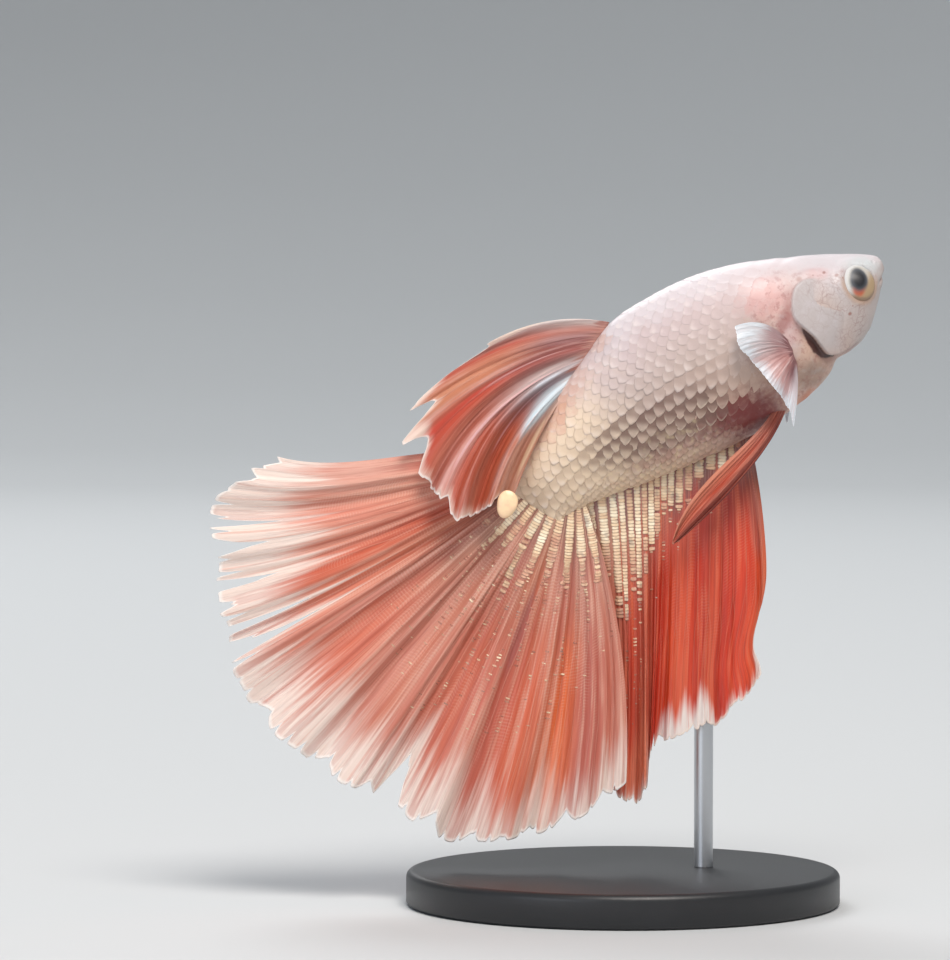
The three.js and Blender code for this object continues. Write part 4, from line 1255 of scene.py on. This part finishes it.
pectoralLook = {
    # near the roots of the first rays the pinkish grey is partly painted shade of the folds where the fin
    # meets the body
    "inner": [(0, "#b29698"), (0.3, "#b48a8a"), (0.6, "#c88e88"), (0.8, "#84545a"), (1, "#dcd2d6")],
    "outer": [
        (0, "#e6eaee"), (0.25, "#d8d0d2"), (0.45, "#d6aaa6"), (0.75, "#d2a2a0"), (0.9, "#e8e4ea"),
        (1, "#f4f2f6"),
    ],
    "dark": "#a86e6a", "light": "#f6ecec", "root": "#b98a88", "rootDark": "#7c4e52",
    "margin": "#e6ecf2", "rim": "#fafcff", "rayTint": "#ecdada", "glows": ("#cdb4b4", "#e6ecf2"),
    "ribs": 0, "streaks": 20, "streaked": 0.5, "foldShading": 0.2, "contrast": 0.4, "turning": (0.3, 0.75),
    "rootEnd": 0.22, "clear": 0.25, "marginSoft": 0.2,
    "marginStart": [(0, 0.5), (0.2, 0.8), (0.4, 0.93), (0.7, 0.93), (1, 0.7)],
    "patches": [],
}
pelvicLook = {
    # from the top ray to the last the red darkens: the fins' own red, with painted light on the top ridge and
    # painted shade on the underside
    "inner": [(0, "#c87c68"), (0.5, "#b04a36"), (1, "#84241a")],
    "outer": [(0, "#e09070"), (0.4, "#c4523a"), (1, "#7c2018")],
    "dark": "#7c2018", "light": "#ec9a80", "root": "#b8766a", "rootDark": "#8c4238",
    "margin": "#d4654a", "rim": "#e89a80", "rayTint": "#dc7c64", "glows": ("#b04a36", "#d4654a"),
    "ribs": 0, "streaks": 6, "streaked": 0.6, "foldShading": 0.3, "contrast": 0.6, "turning": (0.2, 0.6),
    "rootEnd": 0.15, "clear": 0.0, "marginSoft": 0.02,
    "marginStart": [(0, 0.99), (1, 0.99)],
    "patches": [],
}


def finMaterial(name, look, onRays=False):
    material, g = newMaterial(name)
    v, reach, u = g.parts(g.attribute("fan", "Vector"))
    bands = look["streaks"]
    streak = g.rising(0.3, 0.7, g.noise(g.join(v * bands, reach * 1.8), 1.0, 3, 0.6))
    fibre = g.noise(g.join(v * bands * 4.5, reach * 4.0), 1.0, 2)
    cloud = g.noise(g.join(v * 7.0, reach * 3.0), 1.0, 3)
    # the tone holds the fin's streaks, fibres and clouds, and painted light and shade from the folds
    tone = (streak - 0.5) * look["streaked"] + g.attribute("crest") * look["foldShading"]
    tone = tone + (fibre - 0.5) * 0.66 + (cloud - 0.5) * 0.5
    drift = v + (g.noise(g.join(v * 12.0, reach * 5.0), 1.0, 2) - 0.5) * 0.025
    near, far = g.ramp(drift, look["inner"]), g.ramp(drift, look["outer"])
    colour = g.mix(g.rising(*look["turning"], reach), near, far)
    for across, along, wide, long, tint, strength in look["patches"]:
        ragged = g.spot(v, reach, (across, along), (wide, long), soft=0.1) + (streak - 0.5) * 0.3
        colour = g.mix(g.rising(0.2, 0.8, ragged) * strength, colour, tint)
    # darker and lighter with the tone: the fin's streaks and fibres, with painted shade in the fold valleys
    # and painted highlights on the crests
    colour = g.mix(g.rising(0.0, -0.5, tone) * look["contrast"] * 0.8, colour, look["dark"])
    colour = g.mix(g.rising(-0.02, 0.5, tone) * look["contrast"], colour, look["light"])
    # thin dark lines along the rays: partly the darker membrane between rays, partly painted shade in the
    # fine valleys
    groove = g.noise(g.join(v * bands * 2.3, reach * 0.9), 1.0, 1)
    groove = g.rising(0.42, 0.34, groove)
    colour = g.mix(groove * 0.26, colour, look["dark"])
    if look["ribs"]:
        # fine cross ribs, in patches that end before the margin
        phase = g.noise(g.join(v * bands, reach * 2.0), 1.0, 1) * 14
        rib = g.rising(-0.2, 0.9, (reach * (2 * math.pi * look["ribs"]) + phase).sine())
        patchy = g.noise(g.join(v * 16.0, reach * 5.0), 1.0, 2) + (streak - 0.5) * 0.4
        ribbed = g.rising(0.4, 0.65, patchy) * g.rising(0.9, 0.5, reach)
        colour = g.mix(rib * ribbed * look["ribbed"], colour, look["ribTint"])
    ground = g.mix(g.rising(0.3, 0.75, fibre + (streak - 0.5) * 0.5), look["rootDark"], look["root"])
    nearRoot = g.rising(look["rootEnd"], look["rootEnd"] * 0.25, reach + (streak - 0.5) * 0.12)
    colour = g.mix(nearRoot, colour, ground)
    start = g.ramp(v, look["marginStart"])
    soft = look["marginSoft"]
    past = u - start + (streak - 0.5) * (0.03 + soft * 0.8) + (fibre - 0.5) * 0.06
    edge = g.rising(-soft, 0.03 + soft * 0.6, past)
    colour = g.mix(edge * (0.92 - groove * 0.4 - g.rising(0.5, 0.3, streak) * 0.25), colour, look["margin"])
    rim = g.rising(0.984, 0.996, u)
    colour = g.mix(rim * 0.85, colour, look["rim"])
    if onRays:
        colour = g.mix(0.3, colour, look["rayTint"])
    relief = g.bump(fibre * 0.6 + streak, 0.00012, 0.6)
    solid = {
        "Base Color": colour, "Roughness": 0.34 + fibre * 0.2, "Coat Weight": 0.25, "Coat Roughness": 0.25,
        "Normal": relief,
    }
    front = g.node("ShaderNodeBsdfPrincipled", {}, solid)
    redGlow, paleGlow = (g.node("ShaderNodeBsdfTranslucent", {}, {"Color": tint}) for tint in look["glows"])
    through = g.node("ShaderNodeMixShader", {}, {0: edge, 1: redGlow, 2: paleGlow})
    shader = g.node("ShaderNodeMixShader", {}, {0: 0.25, 1: front, 2: through})
    if look["clear"] and not onRays:
        seen = 1 - edge * (1 - rim) * look["clear"] * g.rising(0.75, 0.35, fibre * 0.5 + streak * 0.5)
        clear = g.node("ShaderNodeBsdfTransparent")
        shader = g.node("ShaderNodeMixShader", {}, {0: seen, 1: clear, 2: shader})
    show(g, shader)
    return material


def makeFin(node, fin, look, side):
    fin["tipShort"] = rng.uniform(0, fin["ragged"], fin["tips"])
    fin["notches"] = fin["notch"] * rng.uniform(0, 1, fin["tips"] + 1) ** 2
    places = np.linspace(0, 1, fin["tips"] + 1)
    upTo, more = fin["fingers"]
    fin["notches"] = fin["notches"] * np.where(places < upTo, more, 1) * (places > 0) * (places < 1)
    fin["tipShort"] = fin["tipShort"] * np.where(places[:-1] < upTo, more * 0.7, 1)
    web, ray = look["finishes"]
    membraneMade = makeMembrane(node + "_web", fin, side, web)
    settle(membraneMade, [node])
    settle(makeRays(node + "_rays", fin, side, ray))
    return membraneMade


finLooks = {
    "caudal": caudalLook, "dorsal": dorsalLook, "anal": analLook, "pectoral": pectoralLook,
    "pelvic": pelvicLook,
}
for name, look in finLooks.items():
    look["finishes"] = finMaterial(name + "_web", look), finMaterial(name + "_ray", look, onRays=True)
caudalWeb = makeFin("caudal_fin", caudal, caudalLook, -1)
makeFin("dorsal_fin", dorsal, dorsalLook, -1)
analWeb = makeFin("anal_fin", anal, analLook, -1)
for name, side in (("left", 1), ("right", -1)):
    makeFin("pectoral_fin_" + name, pectoral, pectoralLook, side)
    makeFin("pelvic_fin_" + name, pelvic, pelvicLook, side)
print("fins made")

# golden bars on the rays near the roots of the tail and anal fins
bars = {
    "pitch": 0.33, "length": 0.45, "widest": 1.15, "filled": 0.84, "lift": 0.08, "clumps": 14, "turned": 0.08,
    "levels": 2,  # finer forks carry none
    "edge": "#8a5c4c", "grey": "#8d8380",
    "tones": [(0, "#b06a56"), (0.3, "#cf9c82"), (0.6, "#e9c9a4"), (1, "#fdf0d4")],
}
# how far the bars and the loose flecks beyond them go along the rays, by place across
caudal["bars"] = [
    (0.22, 0, 0), (0.32, 0.1, 0.25), (0.38, 0.19, 0.5), (0.46, 0.25, 0.62), (0.6, 0.29, 0.74),
    (0.75, 0.29, 0.72), (0.88, 0.27, 0.62), (1, 0.24, 0.45),
]
anal["bars"] = [
    (0.08, 0, 0), (0.14, 0.05, 0.08), (0.22, 0.1, 0.2), (0.33, 0.13, 0.3), (0.45, 0.17, 0.36),
    (0.56, 0.2, 0.44), (0.67, 0.25, 0.6), (0.73, 0.38, 0.7), (0.8, 0.42, 0.8), (0.9, 0.36, 0.7),
    (1, 0.3, 0.6),
]


def barMaterial():
    material, g = newMaterial("golden_bars")
    lengthwise, _, radius = g.parts(g.attribute("local", "Vector"))
    glint = g.noise(g.place(), 2.2, 3)
    colour = g.ramp(g.attribute("tone") + (glint - 0.5) * 0.5, bars["tones"])
    colour = g.mix(g.rising(0.58, 0.72, g.noise(g.place(), 0.6, 2)) * 0.5, colour, bars["grey"])
    # painted shade round each bar's rim, between the overlapping bars
    colour = g.mix(g.rising(0.6, 0.95, radius) * 0.4, colour, bars["edge"])
    showGloss(g, colour, 0.3 + glint * 0.2, (0.3, 0.25), (glint, 0.04, 0.5), metallic=0.1)
    return material


def barPlaces(fin):
    # along each ray, a bar at every step, and beyond them a few loose flecks
    places, ends, looseEnds = np.array(fin["bars"]).T
    longest = np.linalg.norm(np.array(fin["rays"])[:, -3:] - np.array(fin["rays"])[:, :3], axis=1).mean()
    step = bars["pitch"] / longest
    found = []
    for tip in range(fin["trunks"] * 2 ** len(fin["forks"])):
        level, u, v = rayPath(fin, tip)
        if level > bars["levels"]:
            continue
        steps = np.arange(max(u[0], 0.02), u[-1], step)
        across = np.interp(steps, u, v)
        drawn = rng.uniform(0, 1, len(steps))
        knots = np.linspace(0, 1, bars["clumps"])
        bright = np.interp(steps, knots, rng.uniform(0.3, 1, bars["clumps"]))
        end = np.interp(across, places, ends) * rng.uniform(0.75, 1.2)
        looseEnd = np.interp(across, places, looseEnds)
        along = steps / np.maximum(end, 1e-6)
        beyond = np.clip((steps - end) / np.maximum(looseEnd - end, 1e-6), 0, 1)
        whole = (steps < end) & (drawn > 0.02 + smooth(0.7, 1, along) * 0.3)
        likely = (1.9 * (bright - 0.52) + 0.12) * (1 - 0.85 * beyond)
        loose = (steps >= end) & (steps < looseEnd) & (drawn < likely)
        tone = bright * (1 - 0.6 * smooth(0.5, 1.1, along)) + rng.normal(0, 0.07, len(steps))
        barSize, fleckSize = rng.uniform(0.86, 1.06, len(steps)), rng.uniform(0.3, 0.62, len(steps))
        size = np.where(whole, barSize, fleckSize * (1 - 0.3 * beyond))
        tone = np.where(whole, tone, 0.75 * rng.uniform(0, 1, len(steps)) ** 1.6)
        kept = whole | loose
        found += list(zip(steps[kept], across[kept], size[kept], tone[kept]))
    return np.array(found).T


def makeBars(name, fin, web, material):
    u, v, size, tone = barPlaces(fin)
    spread = 0.5 / fin["trunks"] / np.where(u > fin["forks"][0], 2, 1)
    gap = np.linalg.norm(finPoint(fin, u, v + spread) - finPoint(fin, u, v - spread), axis=1)
    wide = np.minimum(gap * bars["filled"], bars["widest"]) * size
    middle, normal = finPoint(fin, u, v), finNormal(fin, u, v)
    along = unit(finPoint(fin, u + 0.01, v) - finPoint(fin, u - 0.01, v))
    turn = rng.normal(0, bars["turned"], u.shape)[:, None]
    along = unit(along + np.cross(normal, along) * turn)
    stretch = np.stack([size, wide, 0 * u + 1], -1)
    roots, faces, unwrapped = [], [], []
    for side in (1, -1):
        roots.append(middle + normal * side * 2 * membrane["root"])
        faces.append(normal * side)
        unwrapped.append(np.stack([v * 0.48 + 0.25 + side * 0.25, u, 0 * u], -1))
    marks = {
        "face": np.vstack(faces), "lie": np.tile(along, (2, 1)), "size": np.tile(stretch, (2, 1)),
        "relief": np.tile(size, 2), "tone": np.tile(tone, 2), "bakeRoot": np.vstack(unwrapped),
    }
    points = addMesh(name, np.vstack(roots), [], None, marks)
    values = {
        "Finish": material, "Surface": web, "Length": bars["length"] * mm, "Width": mm,
        "Lift": bars["lift"] * mm, "Square": 0.7, "Point": 0.0,
    }
    made = runTree(points, plates, values)
    settle(made)
    print(name, len(made.data.polygons))


barFinish = barMaterial()
makeBars("caudal_bars", caudal, caudalWeb, barFinish)
makeBars("anal_bars", anal, analWeb, barFinish)

# the round pale lobe at the end of the dorsal fin's last ray
lobe = {
    "centre": [-4.4, -4.3, -0.6], "half": [1.18, 0.45, 1.6], "lean": 0.12,
    "colour": "#fddcb0", "shade": "#f6caa4",
}


def makeLobe():
    material, g = newMaterial("dorsal_lobe")
    bumps = g.noise(g.place(), 1.4, 3)
    colour = g.mix(g.rising(0.3, 0.9, bumps), lobe["colour"], lobe["shade"])
    showGloss(g, colour, 0.35 + bumps * 0.1, (0.4, 0.2), (bumps, 0.15, 0.6))
    bend, turn = ballAngles(40, 56)
    wavy = 1 + 0.04 * np.sin(3 * turn + 1) * np.sin(bend)
    ring = np.sin(bend) * wavy
    directions = (ring * np.cos(turn), np.cos(bend) + 0 * turn, ring * np.sin(turn))
    x, y, z = (value * half for value, half in zip(directions, lobe["half"]))
    points = np.stack([x + lobe["lean"] * z, y, z], -1) + np.array(lobe["centre"])
    return addTube("dorsal_lobe", points, material)


settle(makeLobe())

# display stand
standLook = {
    "edgeRound": 0.8, "footInset": 0.4, "around": 128, "rodAround": 48,
    "rodSunk": 1.0,  # the rod's top hides this far inside the belly
    "edgeRows": 0.05, "rodRows": 0.1,  # rows close to an edge keep it crisp
    "core": 0.5, "steel": "#c3c5c8", "blacks": ("#1d1e20", "#26272a"),
}


def turned(name, outline, middle, around, material):
    # a round piece from an outline of radius and height, both in the row frame
    turn = np.linspace(0, 2 * np.pi, around, endpoint=False)
    radius, height = np.array(outline).T[..., None]
    x, y = radius * np.cos(turn) + middle[0], radius * np.sin(turn) + middle[1]
    return addTube(name, np.stack([x, y, height + 0 * turn], -1) - tailRoot, material)


def steelMaterial():
    material, g = newMaterial("brushed_steel")
    x, y, z = g.parts(g.place())
    brushed = g.noise(g.join(x * 1.2, y * 1.2, z * 14), 1.0, 3)
    showGloss(g, standLook["steel"], 0.24 + brushed * 0.2, relief=(brushed, 0.02, 0.4), metallic=1.0)
    return material


def paintMaterial():
    material, g = newMaterial("satin_black")
    grain = g.noise(g.place(), 6.0, 3)
    tone = g.mix(g.noise(g.place(), 0.15, 2), *standLook["blacks"])
    showGloss(g, tone, 0.34 + grain * 0.14, relief=(grain, 0.03, 0.4))
    return material


def makeStand():
    low, high = (np.array(corner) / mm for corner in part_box("stand_base"))
    radius, tall, curve = (high[0] - low[0]) / 2, high[2], standLook["edgeRound"]
    foot, near, core = standLook["footInset"], standLook["edgeRows"], standLook["core"]
    bends = np.linspace(0, np.pi / 2, 9)
    outline = [(core, 0), (radius - foot - near, 0), (radius - foot, 0)]
    outline += [(radius - near, foot - near), (radius, foot)]
    outline += [(radius - curve + curve * np.cos(b), tall - curve + curve * np.sin(b)) for b in bends]
    outline += [(radius - curve - near, tall), (radius * 0.5, tall), (core, tall)]
    base = turned("stand_base_turned", outline, (low + high) / 2, standLook["around"], paintMaterial())
    settle(base, ["stand_base"])
    low, high = (np.array(corner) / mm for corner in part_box("stand_rod"))
    radius, top = (high[0] - low[0]) / 2, high[2] + standLook["rodSunk"]
    near = standLook["rodRows"]
    heights = (tall, tall, tall + near, top - near, top, top)
    outline = list(zip((radius * 0.5, radius, radius, radius, radius, radius * 0.5), heights))
    rod = turned("stand_rod_turned", outline, (low + high) / 2, standLook["rodAround"], steelMaterial())
    settle(rod, ["stand_rod"])


makeStand()
print("stand made")

# floor, light and camera
stage = {
    "floorRadius": 1.1, "wallRadius": 2.3, "wallTop": 2.2,  # metres
    "around": 96,
    "grey": "#c9ccce", "sky": "#e9f0f6", "skyStrength": 0.42,
    # name, place from the tail root, size in metres, power, colour
    "lights": [
        ("key", (260, -800, 1150), 0.7, 19, "#fff7f0"), ("fill", (-900, -1100, 250), 1.0, 6, "#eef4ff"),
        ("back", (-300, 900, 900), 0.7, 7, "#ffffff"),
    ],
}
view = {"centre": [-8.05, 0, 1.95], "rise": 2.5, "distance": 620, "frameTall": 110.4, "sensor": 36}


def makeBackdrop():
    material, g = newMaterial("backdrop")
    showGloss(g, stage["grey"], 0.9)
    bends = np.linspace(0, np.pi / 2, 16)
    curve = stage["wallRadius"] - stage["floorRadius"]
    outline = [(0.01, 0), (stage["floorRadius"], 0)]
    outline += [(stage["floorRadius"] + curve * np.sin(b), curve * (1 - np.cos(b))) for b in bends]
    outline += [(stage["wallRadius"], stage["wallTop"])]
    around = stage["around"]
    turn = np.linspace(0, 2 * np.pi, around, endpoint=False)
    radius, height = np.array(outline).T[..., None]
    rings = np.stack([radius * np.cos(turn), radius * np.sin(turn), height + 0 * turn], -1) / mm - tailRoot
    faces = gridFaces(len(outline), around, wrapped=True) + [list(range(around))]
    bowl = addMesh("backdrop", rings.reshape(-1, 3), faces, material)


def addLight(name, place, size, power, colour):
    # a round soft light that looks back at the fish
    light = bpy.data.lights.new(name, "AREA")
    light.shape, light.size, light.energy, light.color = "DISK", size, power, linear(colour)
    lamp = bpy.data.objects.new(name, light)
    lamp.location = (np.array(place) + tailRoot) * mm
    aim = Vector((np.array(view["centre"]) + tailRoot) * mm) - lamp.location
    lamp.rotation_euler = aim.to_track_quat("-Z", "Y").to_euler()
    bpy.context.collection.objects.link(lamp)


def makeCamera():
    centre = Vector((np.array(view["centre"]) + tailRoot) * mm)
    rise = math.radians(view["rise"])
    lens = bpy.data.cameras.new("camera")
    lens.sensor_width = view["sensor"]
    lens.lens = view["sensor"] * view["distance"] / view["frameTall"]
    lens.clip_start, lens.clip_end = 0.01, 20
    camera = bpy.data.objects.new("camera", lens)
    camera.location = centre + Vector((0, -math.cos(rise), math.sin(rise))) * view["distance"] * mm
    camera.rotation_euler = (centre - camera.location).to_track_quat("-Z", "Y").to_euler()
    bpy.context.collection.objects.link(camera)
    bpy.context.scene.camera = camera


makeBackdrop()
for light in stage["lights"]:
    addLight(*light)
makeCamera()
world = bpy.data.worlds.new("sky")
world.use_nodes = True
sky = world.node_tree.nodes["Background"]
sky.inputs["Color"].default_value = (*linear(stage["sky"]), 1)
sky.inputs["Strength"].default_value = stage["skyStrength"]
bpy.context.scene.world = world
bpy.context.scene.view_settings.view_transform = "Standard"
